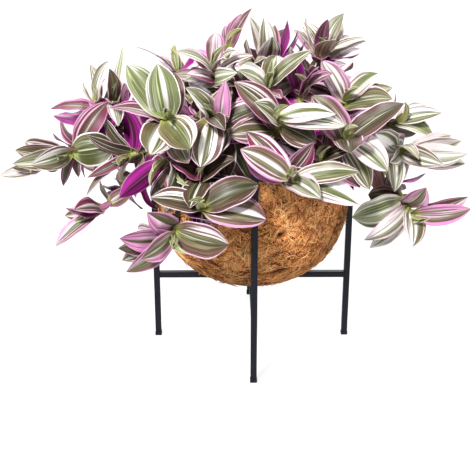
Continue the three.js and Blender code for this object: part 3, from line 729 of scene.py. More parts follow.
def blade_half_width(width):
    """Half the width of a fine blade at each row: a clasping base, a broad middle, a fine tip."""
    u = BLADE_ROWS
    swell = np.sin(math.pi / 2 * np.minimum(1, u / BLADE_WIDEST))
    rest = np.maximum(0, (u - BLADE_WIDEST) / (1 - BLADE_WIDEST))
    taper = np.cos(math.pi / 2 * rest ** np.interp(width, BLADE_TAPER_WIDTHS, BLADE_TAPER))
    base = min(CLASP_HALF_WIDTH, width * CLASP_WIDEST)
    half = base + (width / 2 * BLADE_BREADTH - base) * swell
    return half * (BLADE_TIP + (1 - BLADE_TIP) * taper)


def blade_points(leaf):
    """The points of a fine blade on the leaf's own curve: all of its top, then its bottom."""
    u = BLADE_ROWS[:, None]
    v = BLADE_COLUMNS[None, :]
    centre = leaf.base + leaf.along * leaf.length * u
    centre = centre + leaf.face * leaf.length * leaf.arch * 4 * u * (1 - u)
    tangent = units(leaf.along + leaf.face * leaf.arch * 4 * (1 - 2 * u))
    across = np.cross(leaf.along, leaf.face)
    twist = leaf.twist * u
    side = across * np.cos(twist) + np.cross(leaf.along, across) * np.sin(twist)
    side = units(side - tangent * (side * tangent).sum(axis=1, keepdims=True))
    normal = np.cross(side, tangent)
    half = blade_half_width(leaf.width)[:, None]
    clasp = 1 - smooth(u / CLASP_LENGTH)
    open_fold = leaf.fold * leaf.openness
    fold = open_fold + (CLASP_FOLD - open_fold) * clasp
    flat = half * v * np.cos(fold)
    raised = half * np.abs(v) ** BLADE_CUP * np.sin(fold)
    envelope = np.sin(math.pi * u) * np.abs(v) ** 3
    turns = 2 * math.pi * draw_in(WAVES_ALONG, leaf.key, 31)
    phase = np.where(v < 0, WAVE_SHIFT * draw(leaf.key, 32), WAVE_SHIFT * draw(leaf.key, 33))
    raised = raised + half * MARGIN_WAVE * envelope * np.sin(turns * u + phase)
    raised = raised - GROOVE_DEPTH * np.exp(-(v / GROOVE_WIDTH) ** 2) * np.sin(math.pi * u) ** 0.5
    rib = (RIB_THICKNESS - MARGIN_THICKNESS) * (1 - np.abs(v))
    thick = MARGIN_THICKNESS + rib * (1 - TIP_THINNING * u)
    place = centre[:, None, :] + side[:, None, :] * flat[:, :, None]
    top = place + normal[:, None, :] * (raised + thick / 2)[:, :, None]
    bottom = place + normal[:, None, :] * (raised - thick / 2)[:, :, None]
    return np.concatenate((top.reshape(-1, 3), bottom.reshape(-1, 3)))


def blade_uvs():
    u, v = np.meshgrid(BLADE_ROWS, (BLADE_COLUMNS + 1) / 2, indexing="ij")
    one = np.stack((u.ravel(), v.ravel()), axis=1)
    return np.concatenate((one, one))


BLADE_UVS = blade_uvs()


def add_blade(pile, leaf):
    white, pink, bronze, dark, magenta = LOOKS[leaf.look]
    white += draw_round(WHITE_SPREAD, leaf.key, 41)
    pink *= draw_in(PINK_SHARE, leaf.key, 42)
    dark += draw_round(DARK_SPREAD, leaf.key, 43)
    traits = (white, pink, bronze, dark, magenta, draw(leaf.key, 44))
    pile.add(blade_points(leaf), BLADE_FACES, BLADE_KINDS, BLADE_UVS, traits)


def tube(points, radii, sides):
    """The points and faces of a closed round tube along a path."""
    tangents = units(np.gradient(points, axis=0))
    across = ACROSS if abs(tangents[0][0]) < MOST_ACROSS else UP
    angles = even_turns(sides)
    rings = []
    for point, tangent, radius in zip(points, tangents, radii):
        across = unit(across - tangent * (across @ tangent))
        other = np.cross(tangent, across)
        ring = np.outer(np.cos(angles), across) + np.outer(np.sin(angles), other)
        rings.append(point + ring * radius)
    return np.concatenate(rings), ring_faces(len(points), sides)


def add_stem(pile, shoot):
    shares = np.linspace(0, 1, STEM_STEPS)
    points = np.array([shoot.root] + [shoot.stem.point(t) for t in shares])
    radii = np.array([STEM_ROOT_RADIUS] + [radius_of_stem(t) for t in shares])
    for leaf in shoot.leaves:
        gaps = np.linalg.norm(points - leaf.base, axis=1)
        radii = radii + JOINT_SWELL * np.exp(-(gaps / JOINT_REACH) ** 2)
    radii[-1] *= STEM_END
    seed = draw(shoot.number, 51)
    pile.add(*tube(points, radii, STEM_SIDES), STEM_SKIN, traits=(0, 0, 0, 0, 0, seed))
    for leaf in shoot.leaves:
        add_sheath(pile, shoot.stem, leaf, seed)


def add_sheath(pile, stem, leaf, seed):
    """The short sleeve of a leaf's base, round the stem below the leaf."""
    shares = np.linspace(0, 1, SHEATH_PLACES)
    nearest = min(shares, key=lambda t: np.linalg.norm(stem.point(t) - leaf.base))
    drop = SHEATH_LENGTH / stem.speed_at_heart
    low = max(SHEATH_LOWEST, nearest - drop)
    steps = np.linspace(low, min(1, nearest + drop * SHEATH_ABOVE), len(SHEATH_PROFILE))
    points = np.array([stem.point(t) for t in steps])
    radii = np.array([radius_of_stem(t) for t in steps]) + SHEATH_PROFILE * SHEATH_PROUD
    pile.add(*tube(points, radii, STEM_SIDES), STEM_SKIN, traits=(1, 0, 0, 0, 0, seed))


def colour(code):
    """A colour code as it looks on screen, as linear light."""
    levels = [int(code[i:i + 2], 16) / 255 for i in (1, 3, 5)]
    linear = [x / 12.92 if x <= 0.04045 else ((x + 0.055) / 1.055) ** 2.4 for x in levels]
    return (*linear, 1.0)


class Shader:
    """A material's nodes, made one call at a time."""

    def __init__(self, name, roughness, specular=0.5):
        self.material = bpy.data.materials.new(name)
        self.material.use_nodes = True
        self.tree = self.material.node_tree
        self.surface = self.tree.nodes["Principled BSDF"]
        self.surface.inputs["Roughness"].default_value = roughness
        self.surface.inputs["Specular IOR Level"].default_value = specular

    def node(self, kind, **settings):
        made = self.tree.nodes.new("ShaderNode" + kind)
        for name, value in settings.items():
            setattr(made, name, value)
        return made

    def feed(self, socket, value):
        """Links an output to a socket, or sets the socket to a plain number or colour."""
        if isinstance(value, bpy.types.NodeSocket):
            self.tree.links.new(value, socket)
        elif isinstance(value, str):
            socket.default_value = colour(value)
        else:
            socket.default_value = value

    def math(self, operation, *values, clamp=False):
        made = self.node("Math", operation=operation, use_clamp=clamp)
        for socket, value in zip(made.inputs, values):
            self.feed(socket, value)
        return made.outputs[0]

    def times(self, one, two, clamp=False):
        return self.math("MULTIPLY", one, two, clamp=clamp)

    def scaled(self, value, factor, shift, clamp=False):
        return self.math("MULTIPLY_ADD", value, factor, shift, clamp=clamp)

    def plus(self, one, two, clamp=False):
        return self.math("ADD", one, two, clamp=clamp)

    def centred(self, value):
        return self.plus(value, -0.5)

    def most(self, one, two):
        return self.math("MAXIMUM", one, two)

    def mix(self, share, one, two):
        made = self.node("Mix", data_type="RGBA")
        self.feed(made.inputs[0], share)
        self.feed(made.inputs[6], one)
        self.feed(made.inputs[7], two)
        return made.outputs[2]

    def step(self, value, low, high):
        """0 below low, 1 above high, and smooth between. Either may be a socket."""
        made = self.node("MapRange", interpolation_type="SMOOTHSTEP")
        self.feed(made.inputs["Value"], value)
        self.feed(made.inputs["From Min"], low)
        self.feed(made.inputs["From Max"], high)
        return made.outputs[0]

    def tint(self, base, value, low, high, share, over):
        """A base with a share of another colour over it, from where a value passes low to high."""
        return self.mix(self.times(self.step(value, low, high), share), base, over)

    def combine(self, x, y, z):
        made = self.node("CombineXYZ")
        for socket, value in zip(made.inputs, (x, y, z)):
            self.feed(socket, value)
        return made.outputs[0]

    def parts(self, vector):
        made = self.node("SeparateXYZ")
        self.feed(made.inputs[0], vector)
        return made.outputs[0], made.outputs[1], made.outputs[2]

    def noise(self, vector, scale, detail=2.0, roughness=0.5, distortion=0.0):
        made = self.node("TexNoise")
        self.feed(made.inputs["Vector"], vector)
        made.inputs["Scale"].default_value = scale
        made.inputs["Detail"].default_value = detail
        made.inputs["Roughness"].default_value = roughness
        made.inputs["Distortion"].default_value = distortion
        return made.outputs["Fac"]

    def attribute(self, name):
        return self.node("Attribute", attribute_name=name).outputs["Vector"]

    def place(self):
        return self.node("TexCoord").outputs["Object"]

    def uv(self):
        return self.node("UVMap", uv_map="shape").outputs[0]

    def finish(self, base, height=None, strength=0.3, distance=0.0005):
        self.feed(self.surface.inputs["Base Color"], base)
        if height is not None:
            bump = self.node("Bump")
            bump.inputs["Strength"].default_value = strength
            bump.inputs["Distance"].default_value = distance
            self.feed(bump.inputs["Height"], height)
            self.feed(self.surface.inputs["Normal"], bump.outputs[0])
        return self.material


class LeafShader(Shader):
    """What both sides of a leaf read: its length and breadth, the traits and the noises."""

    def __init__(self, name, roughness):
        super().__init__(name, roughness, specular=0.3)
        place = self.parts(self.uv())
        self.length = place[0]
        self.across = self.scaled(place[1], 2.0, -1.0)
        self.edge = self.math("ABSOLUTE", self.across)
        self.white, self.pink, self.bronze = self.parts(self.attribute("tone"))
        self.dark, self.magenta, seed = self.parts(self.attribute("trait"))
        self.far = self.times(seed, 60.0)
        self.band = self.lines(2.6, 0.3, 1.0)
        self.streak = self.lines(4.6, 0.4, 0.5)
        self.vein = self.lines(19.0, 0.9, 2.0)
        self.cloud = self.lines(1.3, 2.2, 2.0)

    def lines(self, breadth, length, detail):
        """Noise drawn out along the leaf."""
        across = self.times(self.across, breadth)
        along = self.times(self.length, length)
        return self.noise(self.combine(across, along, self.far), 1.0, detail)

    def freshen(self, base, far, near, share, bronze_share):
        """Fresh green at the foot of the leaf, and all over one that is still half rolled."""
        young = self.times(self.step(self.length, far, near), share)
        return self.mix(self.most(young, self.times(self.bronze, bronze_share)), base, "#97a23a")


def leaf_top_material():
    s = LeafShader("leaf_top", roughness=0.4)
    # Pale bands of uneven breadth run the length of the leaf, with fine pale lines between them
    outer = s.times(s.centred(s.edge), s.pink)
    level = s.scaled(outer, -0.13, s.scaled(s.white, -0.45, 0.745))
    band = s.scaled(s.centred(s.vein), 0.03, s.band)
    pale = s.step(band, s.plus(level, -0.02), s.plus(level, 0.02))
    silver = s.step(band, s.plus(level, -0.13), level)
    width = s.scaled(s.white, -0.2, 0.69)
    streak = s.times(s.step(s.streak, width, s.plus(width, 0.03)), 0.85)
    margin = s.step(s.scaled(s.centred(s.vein), 0.12, s.edge), 0.91, 0.945)
    rib = s.times(s.step(s.edge, 0.055, 0.02), 0.65)
    pale = s.most(s.most(pale, streak), s.most(margin, rib))
    gap = s.times(s.step(s.streak, 0.445, 0.405), s.step(s.edge, 0.95, 0.9))
    pale = s.times(pale, s.scaled(gap, -0.85, 1.0))
    # The pale parts are cream, or lilac where the leaf is flushed
    flush = s.scaled(s.cloud, 1.3, s.scaled(s.edge, 0.7, -0.3))
    flush = s.times(s.math("POWER", s.pink, 2.0), flush)
    rim = s.times(s.step(s.edge, 0.9, 0.98), s.scaled(s.pink, 0.9, -0.12, clamp=True))
    light = s.mix(s.plus(flush, rim, clamp=True), "#e9e7e1", "#c981b4")
    contour = s.step(s.math("ABSOLUTE", s.centred(s.streak)), 0.034, 0.014)
    light = s.mix(s.times(contour, 0.45), light, "#7d6a62")
    light = s.tint(light, s.vein, 0.45, 0.4, 0.25, "#a3a88c")
    # The green parts go from silver green to olive, with fine veins, and brown where flushed
    green = s.mix(s.step(s.cloud, 0.38, 0.6), "#69723f", "#525c22")
    # Partly painted shade: the dark share turns the green to near black olive
    green = s.mix(s.dark, green, "#2b3212")
    silver = s.times(silver, s.scaled(s.dark, -0.4, 0.6))
    green = s.mix(s.most(silver, s.times(s.dark, -0.25)), green, "#96a38c")
    green = s.tint(green, s.vein, 0.53, 0.62, s.scaled(s.dark, -0.2, 0.38), "#99a278")
    green = s.tint(green, s.vein, 0.46, 0.37, 0.4, "#232d10")
    green = s.mix(s.times(contour, s.scaled(s.dark, -0.3, 0.6)), green, "#b9c08f")
    brown = s.scaled(s.band, 1.1, s.scaled(s.edge, 0.9, -0.45))
    green = s.mix(s.times(s.bronze, brown, clamp=True), green, "#6f2444")
    base = s.freshen(s.mix(pale, green, light), 0.22, 0.03, 0.7, -0.55)
    height = s.scaled(pale, 0.3, s.times(s.vein, 0.7))
    return s.finish(base, height, strength=0.5, distance=0.0006)


def leaf_under_material():
    s = LeafShader("leaf_under", roughness=0.38)
    strong = s.mix(s.step(s.streak, 0.38, 0.6), "#42082f", "#861470")
    strong = s.mix(s.step(s.band, 0.48, 0.62), strong, "#a3208c")
    strong = s.tint(strong, s.vein, 0.47, 0.38, 0.5, "#2e0623")
    soft = s.mix(s.step(s.streak, 0.4, 0.6), "#8a8562", "#b3ab88")
    soft = s.mix(s.step(s.band, 0.52, 0.6), soft, "#d0cbb0")
    base = s.mix(s.magenta, soft, strong)
    base = s.tint(base, s.edge, 0.9, 0.96, 0.6, "#c08aae")
    base = s.tint(base, s.edge, 0.07, 0.02, 0.45, "#a5668c")
    base = s.freshen(base, 0.16, 0.02, 0.6, -0.75)
    return s.finish(base, s.vein, strength=0.5, distance=0.0006)


def stem_material():
    s = Shader("stem_skin", roughness=0.45)
    place = s.place()
    sheath = s.parts(s.attribute("tone"))[0]
    seed = s.parts(s.attribute("trait"))[2]
    patch = s.noise(place, 45.0, 3.0)
    speck = s.noise(place, 320.0)
    base = s.mix(s.step(patch, 0.35, 0.65), "#92a03a", "#74823a")
    base = s.tint(base, s.plus(patch, s.times(seed, 0.2)), 0.5, 0.72, 0.7, "#6e3850")
    base = s.tint(base, speck, 0.5, 0.7, 0.3, "#b9c17a")
    base = s.mix(s.times(sheath, 0.55), base, "#b9b583")
    return s.finish(base, speck)


# Cells of space, in millimetres, and the points of a fine blade that they are filled from
CROWD_LOW = np.array((-330.0, -260.0, 0.0))
CROWD_HIGH = np.array((330.0, 260.0, 500.0))
CROWD_CELL = 4.0
CROWD_STEP = 3.0
CROWD_FROM = 0.2
CROWD_ROWS = np.flatnonzero(BLADE_ROWS > CROWD_FROM)
CROWD_COLUMNS = np.array((0, 2, 3, 5, 6, 8))
CROWD_POINTS = (CROWD_ROWS[:, None] * len(BLADE_COLUMNS) + CROWD_COLUMNS).ravel()
WALL_TURNS = 260
WALL_INSETS = (0, 4, 8)
LEG_SHIFTS = (-3, 0, 3)
STEM_TAKEN = np.linspace(0, 0.9, 60)

# Camera, in millimetres and degrees, and the cells that what it sees falls into
FOCAL_LENGTH = 77.95
SENSOR_WIDTH = 36.0
CAMERA_PLACE = np.array((-30.87, -1258.64, 670.78))
CAMERA_PITCH = 22.519
CAMERA_YAW = -0.369
SCREEN_CELLS = 118
SCREEN_SCALE = FOCAL_LENGTH / SENSOR_WIDTH
SCREEN_CLOSING = 3
SCREEN_DEPTH = 2


class Crowd:
    """Which cells of space are taken, so that more leaves can be kept clear of the others."""

    def __init__(self):
        shape = np.ceil((CROWD_HIGH - CROWD_LOW) / CROWD_CELL).astype(int)
        self.taken = np.zeros(shape, bool)

    def cells(self, points):
        cells = ((points - CROWD_LOW) / CROWD_CELL).astype(int)
        return tuple(np.clip(cells, 0, np.array(self.taken.shape) - 1).T)

    def take(self, points):
        self.taken[self.cells(points)] = True

    def clashes(self, points):
        """The share of the points that lie in taken cells."""
        return self.taken[self.cells(points)].mean()


def camera_view(points):
    """How far points lie to the right of, above and away from the camera, in millimetres."""
    pitch = math.radians(CAMERA_PITCH)
    yaw = math.radians(CAMERA_YAW)
    level = math.cos(pitch)
    forward = np.array((-math.sin(yaw) * level, math.cos(yaw) * level, -math.sin(pitch)))
    right = unit(np.cross(forward, UP))
    above = np.cross(right, forward)
    from_camera = points - CAMERA_PLACE
    return from_camera @ right, from_camera @ above, from_camera @ forward


def spread(mask):
    """A mask grown by one cell on all four sides."""
    wider = mask.copy()
    wider[1:] |= mask[:-1]
    wider[:-1] |= mask[1:]
    wider[:, 1:] |= mask[:, :-1]
    wider[:, :-1] |= mask[:, 1:]
    return wider


class Screen:
    """What shows of the leaves from the camera, so that more leaves can be kept behind them."""

    def __init__(self):
        self.near = np.full((SCREEN_CELLS, SCREEN_CELLS), np.inf)

    def cells(self, points):
        across, above, away = camera_view(points)
        columns = ((across / away * SCREEN_SCALE + 0.5) * SCREEN_CELLS).astype(int)
        rows = ((above / away * SCREEN_SCALE + 0.5) * SCREEN_CELLS).astype(int)
        last = SCREEN_CELLS - 1
        return np.clip(rows, 0, last), np.clip(columns, 0, last), away

    def draw(self, points):
        rows, columns, away = self.cells(points)
        np.minimum.at(self.near, (rows, columns), away)

    def close(self):
        """Fills gaps between leaves, so that leaves may show there and nowhere else."""
        shown = np.isfinite(self.near)
        inside = shown
        for step in range(SCREEN_CLOSING):
            inside = spread(inside)
        for step in range(SCREEN_CLOSING):
            inside = ~spread(~inside)
        self.outside = ~(inside | shown)

    def spoils(self, points):
        """The share of the points that stand before a leaf that shows, or outside them all."""
        rows, columns, away = self.cells(points)
        before = self.near[rows, columns]
        covers = np.isfinite(before) & (away < before - SCREEN_DEPTH)
        return (covers | self.outside[rows, columns]).mean()


def crowd_points(leaf):
    return blade_points(leaf)[CROWD_POINTS]


def add_leaf(shoot, crowd, leaf, look):
    leaf.look = look
    shoot.leaves.append(leaf)
    crowd.take(crowd_points(leaf))


def add_missing_leaves(shoot, crowd):
    """Leaves that the frame had no room for, in the bend that is clearest of the others."""
    for look, leaves in shoot.missing:
        leaf = min(leaves[:SLIGHT_BENDS], key=lambda trial: crowd.clashes(crowd_points(trial)))
        if crowd.clashes(crowd_points(leaf)) < MISSING_LIMIT:
            add_leaf(shoot, crowd, leaf, look)


def inner_leaf(shoot, crowd, screen, down, around, key):
    """The clearest of some trial leaves at a distance down a stem, or None."""
    t = shoot.stem.share_at(down)
    base = shoot.stem.point(t)
    tangent = shoot.stem.tangent(t)
    best = None
    least = INNER_LIMIT
    for trial in range(INNER_TRIALS):
        tilt = draw_in(INNER_TILT, key, 60 + trial)
        swing = around + draw_round(INNER_SWING, key, 90 + trial)
        length = draw_in(INNER_LENGTH, key, 120 + trial)
        width = length * draw_in(INNER_SLIMNESS, key, 5)
        along = stem_direction(tangent, swing, tilt)
        leaf = Leaf(base, along, tangent, length, width, 0, key)
        points = crowd_points(leaf)
        clash = crowd.clashes(points) + SPOIL_WEIGHT * screen.spoils(points)
        if clash < least:
            least = clash
            best = leaf
    return best


def add_inner_leaves(shoot, crowd, screen):
    """Older and shaded leaves further down the stem, wherever there is room for them."""
    key = shoot.first_key + INNER_KEY
    down = INNER_FIRST
    around = 360 * draw(key, 0)
    while down < shoot.stem.lengths[-1] - INNER_LAST:
        around += OLDER_LEAVES["turn"]
        leaf = inner_leaf(shoot, crowd, screen, down, around, key)
        if leaf is not None:
            # The inner leaves' dark looks are painted shade deep in the foliage
            add_leaf(shoot, crowd, leaf, draw_look(SHADED_INNER_LOOKS, key, 6))
        down += INNER_GAP * draw_in(INNER_GAP_SHARE, key, 7)
        key += INNER_KEY_STEP


def add_young_leaves(shoot):
    """Half rolled leaves at the heart of the shoot."""
    tangent = shoot.stem.tangent(1)
    for i in range(YOUNG_COUNT):
        key = shoot.first_key + YOUNG_KEY + i
        swing = 360 * draw(key, 1) + 180 * i
        along = stem_direction(tangent, swing, YOUNG_TILT + YOUNG_OPENING * i)
        length = YOUNG_LENGTH + YOUNG_GROWTH * i + YOUNG_LENGTH_SPREAD * draw(key, 2)
        width = length * YOUNG_SLIMNESS
        leaf = Leaf(shoot.heart, along, shoot.axis, length, width, 0, key)
        leaf.openness = YOUNG_OPENNESS
        leaf.look = YOUNG_LOOK
        shoot.leaves.append(leaf)


def take_stand_and_bowl(crowd):
    """Marks the bowl's wall and rim and the legs as taken."""
    wall = UP * np.arange(BRACE_TOP, BOWL_RIM + CROWD_STEP, CROWD_STEP)[:, None]
    for angle in np.linspace(0, 2 * math.pi, WALL_TURNS):
        out = np.array((math.cos(angle), math.sin(angle), 0))
        for inset in WALL_INSETS:
            crowd.take(out * (BOWL_RADIUS - inset) + wall)
    leg = UP * np.arange(0, LEG_HEIGHT + CROWD_STEP, CROWD_STEP)[:, None]
    for x, y in ((0, -1), (0, 1), (-1, 0), (1, 0)):
        for shift in LEG_SHIFTS:
            foot = (x * LEG_CENTRE + shift * abs(y), y * LEG_CENTRE + shift * abs(x), 0)
            crowd.take(np.array(foot) + leg)


def build_shoots():
    materials = [leaf_top_material(), leaf_under_material(), stem_material()]
    shoots = list_shoots()
    crowd = Crowd()
    take_stand_and_bowl(crowd)
    for shoot in shoots:
        grow(shoot)
        for leaf in shoot.leaves:
            crowd.take(crowd_points(leaf))
        crowd.take(np.array([shoot.stem.point(t) for t in STEM_TAKEN]))
    for shoot in shoots:
        add_missing_leaves(shoot, crowd)
    screen = Screen()
    for shoot in shoots:
        for leaf in shoot.leaves:
            screen.draw(blade_points(leaf))
    screen.close()
    for shoot in shoots:
        add_inner_leaves(shoot, crowd, screen)
    for shoot in shoots:
        add_young_leaves(shoot)
        pile = Pile()
        add_stem(pile, shoot)
        for leaf in shoot.leaves:
            add_blade(pile, leaf)
        piece = pile.piece("plant_" + shoot.name, materials)
        stand_for(piece, "shoot_" + shoot.name)


# Bowl: its felt body and the fibres on its outside, with lengths in millimetres
BOWL_SEED = 7
OUTLINE_POINTS = 60
OUTLINE_REACH = 1.5
BODY_TURNS = 240
BODY_START = 0.5
BODY_STEP = 2.5
BODY_INNER_STEP = 14
BODY_INSET = 0.8
BODY_ROUGHNESS = 1.2
RIM_ROWS = ((1.2, -0.4), (4.0, 0.5), (7.2, -0.2))
RIM_SAG = 0.6
RIM_SIDE_ROUGHNESS = 0.5
RIM_TOP_ROUGHNESS = 0.8
LINING_FIBRES = 3200
LOOSE_FIBRES = 5900
FIBRE_SIDES = 3
FIBRE_STEP = (2.0, 3.4)
FIBRE_RADIUS = (0.2, 0.5)
FIBRE_TAPER = (0.45, 1.0, 1.0, 1.0, 1.0, 0.35)
FIBRE_POINTS = len(FIBRE_TAPER)
FIBRE_LIFT = (0.0, 1.3)
FIBRE_START = 0.85
FIBRE_CROWDING = 1.5
FIBRE_UNEVENNESS = 1.5
FIBRE_FIRST_SIDE = 0.25
LEAST_TURNING_RADIUS = 20
FIBRE_LEAST_LENGTH = 2
FIBRE_START_PAST_RIM = 2
FIBRE_PAST_RIM = 0.4
FIBRE_CURL = 0.16
FIBRE_WAVE = 0.35
FIBRE_WAVE_STEP = 1.3
STRAY_SHARE = 0.04
STRAY_LIFT = 4.5
LEG_NEAR = 5.0
LEG_REACH = 12
LEG_PRESS = 0.4

# Hollows pressed into the felt and painted near black as the shade inside them:
# turn in degrees, distance from the bottom, half breadth, half height
HOLLOWS = [
    (-72.5, 120, 16.0, 6.6), (-33.3, 150, 6.6, 7.4), (-75, 182, 4.8, 4.6), (-52, 146, 4.4, 4.8),
    (110, 130, 12.0, 5.6), (20, 165, 5.6, 5.4), (195, 140, 7.0, 5.4)]
HOLLOW_DEPTH = 4.6
HOLLOW_SLANT = 0.22
HOLLOW_EDGE = 1.3
MOST_OVER_HOLLOW = 0.3


class Outline:
    """The outside of the bowl from the middle of its bottom to its rim, by distance."""

    def __init__(self):
        start = BOWL_BOTTOM_RADIUS / BOWL_RADIUS
        across = start + (1 - start) * np.sin(np.linspace(0, math.pi / 2, OUTLINE_POINTS))
        down = np.maximum(0, 1 - across ** BOWL_ROUNDNESS) ** (1 / BOWL_ROUNDNESS)
        curve = BRACE_TOP + BOWL_CURVE_HEIGHT * (1 - down / down[0])
        self.radii = np.concatenate(((0,), across * BOWL_RADIUS, (BOWL_RADIUS,)))
        self.heights = np.concatenate(((BRACE_TOP,), curve, (BOWL_RIM,)))
        steps = np.hypot(np.diff(self.radii), np.diff(self.heights))
        self.lengths = np.concatenate(((0,), np.cumsum(steps)))
        self.whole = self.lengths[-1]

    def radius(self, length):
        return np.interp(length, self.lengths, self.radii)

    def height(self, length):
        return np.interp(length, self.lengths, self.heights)

    def surface(self, turn, length, lift):
        """Points at a lift from the outside, and the outward normals there."""
        ahead = np.clip(length + OUTLINE_REACH, 0, self.whole)
        behind = np.clip(length - OUTLINE_REACH, 0, self.whole)
        rise = self.height(ahead) - self.height(behind)
        run = self.radius(ahead) - self.radius(behind)
        size = np.hypot(rise, run)
        out = rise / size
        up = -run / size
        points = ring_points(self.radius(length) + out * lift, turn, self.height(length) + up * lift)
        return points, ring_points(out, turn, up)


def hollow_at(turn, length, radius):
    """1 in the middle of a hollow of the felt, and 0 outside them all."""
    deepest = np.zeros(np.shape(turn))
    for degrees, middle, half_breadth, half_height in HOLLOWS:
        off = np.mod(turn - math.radians(degrees) + math.pi, 2 * math.pi) - math.pi
        tilt = (length - middle) - HOLLOW_SLANT * off * radius
        gap = (off * radius / half_breadth) ** 2 + (tilt / half_height) ** 2
        deepest = np.maximum(deepest, np.clip(HOLLOW_EDGE - gap, 0, 1))
    return deepest


def bowl_body(outline, rng):
    """A closed thick bowl with an uneven outside: its points, faces and how hollow each point is, for
    painted shade.
    """
    turns = even_turns(BODY_TURNS)
    lengths = np.arange(BODY_START, outline.whole, BODY_STEP)
    length, turn = np.meshgrid(lengths, turns, indexing="ij")
    hollow_and_shade = hollow_at(turn, length, outline.radius(length))
    lift = -BODY_INSET + BODY_ROUGHNESS * (rng.random(turn.shape) - 0.5) - HOLLOW_DEPTH * hollow_and_shade
    outside = outline.surface(turn, length, lift)[0]
    lengths = np.arange(BODY_START, outline.whole, BODY_INNER_STEP)[::-1]
    length, turn = np.meshgrid(lengths, turns, indexing="ij")
    lift = -BOWL_WALL + BODY_ROUGHNESS * (rng.random(turn.shape) - 0.5)
    inside = outline.surface(turn, length, lift)[0]
    rim = []
    for inset, rise in RIM_ROWS:
        reach = BOWL_RADIUS - inset + RIM_SIDE_ROUGHNESS * (rng.random(BODY_TURNS) - 0.5)
        height = BOWL_RIM - RIM_SAG + rise + RIM_TOP_ROUGHNESS * (rng.random(BODY_TURNS) - 0.5)
        rim.append(ring_points(reach, turns, height))
    rings = np.concatenate((outside, np.array(rim), inside))
    # How hollow each point of the outside is, which the felt paints as shade
    painted_hollow_shade = np.zeros(len(rings) * BODY_TURNS)
    painted_hollow_shade[:hollow_and_shade.size] = hollow_and_shade.ravel()
    return rings.reshape(-1, 3), ring_faces(len(rings), BODY_TURNS), painted_hollow_shade


def crowded_draws(rng, least_and_spread, count, power):
    """Random draws that crowd towards the least value."""
    return least_and_spread[0] + least_and_spread[1] * rng.random(count) ** power


def lay_fibres(outline, rng, count):
    """All fibres at once: their points, the felt's normals there, and the deepest hollow under each."""
    turn = 2 * math.pi * rng.random(count)
    least = (outline.lengths[1] * FIBRE_START) ** FIBRE_CROWDING
    most = (outline.whole + FIBRE_START_PAST_RIM) ** FIBRE_CROWDING
    length = np.sqrt(rng.uniform(least, most, count) ** (2 / FIBRE_CROWDING))
    heading = rng.uniform(0, 2 * math.pi, count)
    bend = rng.normal(0, FIBRE_CURL, count)
    step = crowded_draws(rng, FIBRE_STEP, count, FIBRE_UNEVENNESS)
    lift = crowded_draws(rng, FIBRE_LIFT, count, FIBRE_UNEVENNESS)
    phase = rng.uniform(0, 2 * math.pi, count)
    stray = rng.random(count) < STRAY_SHARE
    points = []
    normals = []
    deepest = np.zeros(count)
    for i in range(FIBRE_POINTS):
        radius = np.maximum(LEAST_TURNING_RADIUS, outline.radius(length))
        deepest = np.maximum(deepest, hollow_at(turn, length, radius))
        rise = lift + FIBRE_WAVE * np.sin(phase + i * FIBRE_WAVE_STEP)
        rise = rise + stray * STRAY_LIFT * (i / FIBRE_POINTS) ** 2
        # A fibre behind a leg is pressed flat
        from_leg = np.abs(np.mod(turn + math.pi / 4, math.pi / 2) - math.pi / 4) * radius
        held = np.clip(2 - from_leg / LEG_NEAR, 0, 1) * (radius > BOWL_RADIUS - LEG_REACH)
        rise = rise * (1 - held) - LEG_PRESS * held
        kept = np.clip(length, FIBRE_LEAST_LENGTH, outline.whole + FIBRE_PAST_RIM)
        place, normal = outline.surface(turn, kept, rise)
        points.append(place)
        normals.append(normal)
        heading = heading + bend + rng.normal(0, FIBRE_CURL, count)
        for part in (0.5, 0.5):
            turn = turn + part * step * np.cos(heading) / radius
            length = length + part * step * np.sin(heading)
            deepest = np.maximum(deepest, hollow_at(turn, length, radius))
    return np.array(points), np.array(normals), deepest


def fibre_faces():
    """The faces of one fibre: its sides, and its two ends."""
    sides = []
    for i in range(FIBRE_POINTS - 1):
        for side in range(FIBRE_SIDES):
            one = i * FIBRE_SIDES + side
            two = i * FIBRE_SIDES + (side + 1) % FIBRE_SIDES
            sides.append((one, one + FIBRE_SIDES, two + FIBRE_SIDES, two))
    last = (FIBRE_POINTS - 1) * FIBRE_SIDES
    ends = (tuple(range(FIBRE_SIDES)), tuple(reversed(range(last, last + FIBRE_SIDES))))
    return np.array(sides), np.array(ends)


def add_fibres(pile, outline, rng, count, kind):
    """Round fibres, apart from those over a hollow, each of its own tone."""
    points, normals, deepest = lay_fibres(outline, rng, count)
    tangents = units(np.gradient(points, axis=0))
    across = units(np.cross(tangents, normals))
    above = np.cross(across, tangents)
    thickness = crowded_draws(rng, FIBRE_RADIUS, count, 2)
    radii = np.array(FIBRE_TAPER)[:, None, None] * thickness[None, :, None]
    rings = []
    for side in range(FIBRE_SIDES):
        angle = 2 * math.pi * (side + FIBRE_FIRST_SIDE) / FIBRE_SIDES
        rings.append(points + across * radii * math.cos(angle) + above * radii * math.sin(angle))
    clear = deepest < MOST_OVER_HOLLOW
    points = np.array(rings).transpose(2, 1, 0, 3).reshape(count, -1, 3)[clear]
    tones = rng.random(count)[clear]
    size = points.shape[1]
    starts = np.arange(len(points))[:, None, None] * size
    sides, ends = fibre_faces()
    faces = (sides + starts).reshape(-1, 4).tolist() + (ends + starts).reshape(-1, 3).tolist()
    traits = np.zeros((len(points) * size, TRAITS))
    traits[:, 0] = np.repeat(tones, size)
    pile.add(points.reshape(-1, 3), faces, kind, traits=traits)


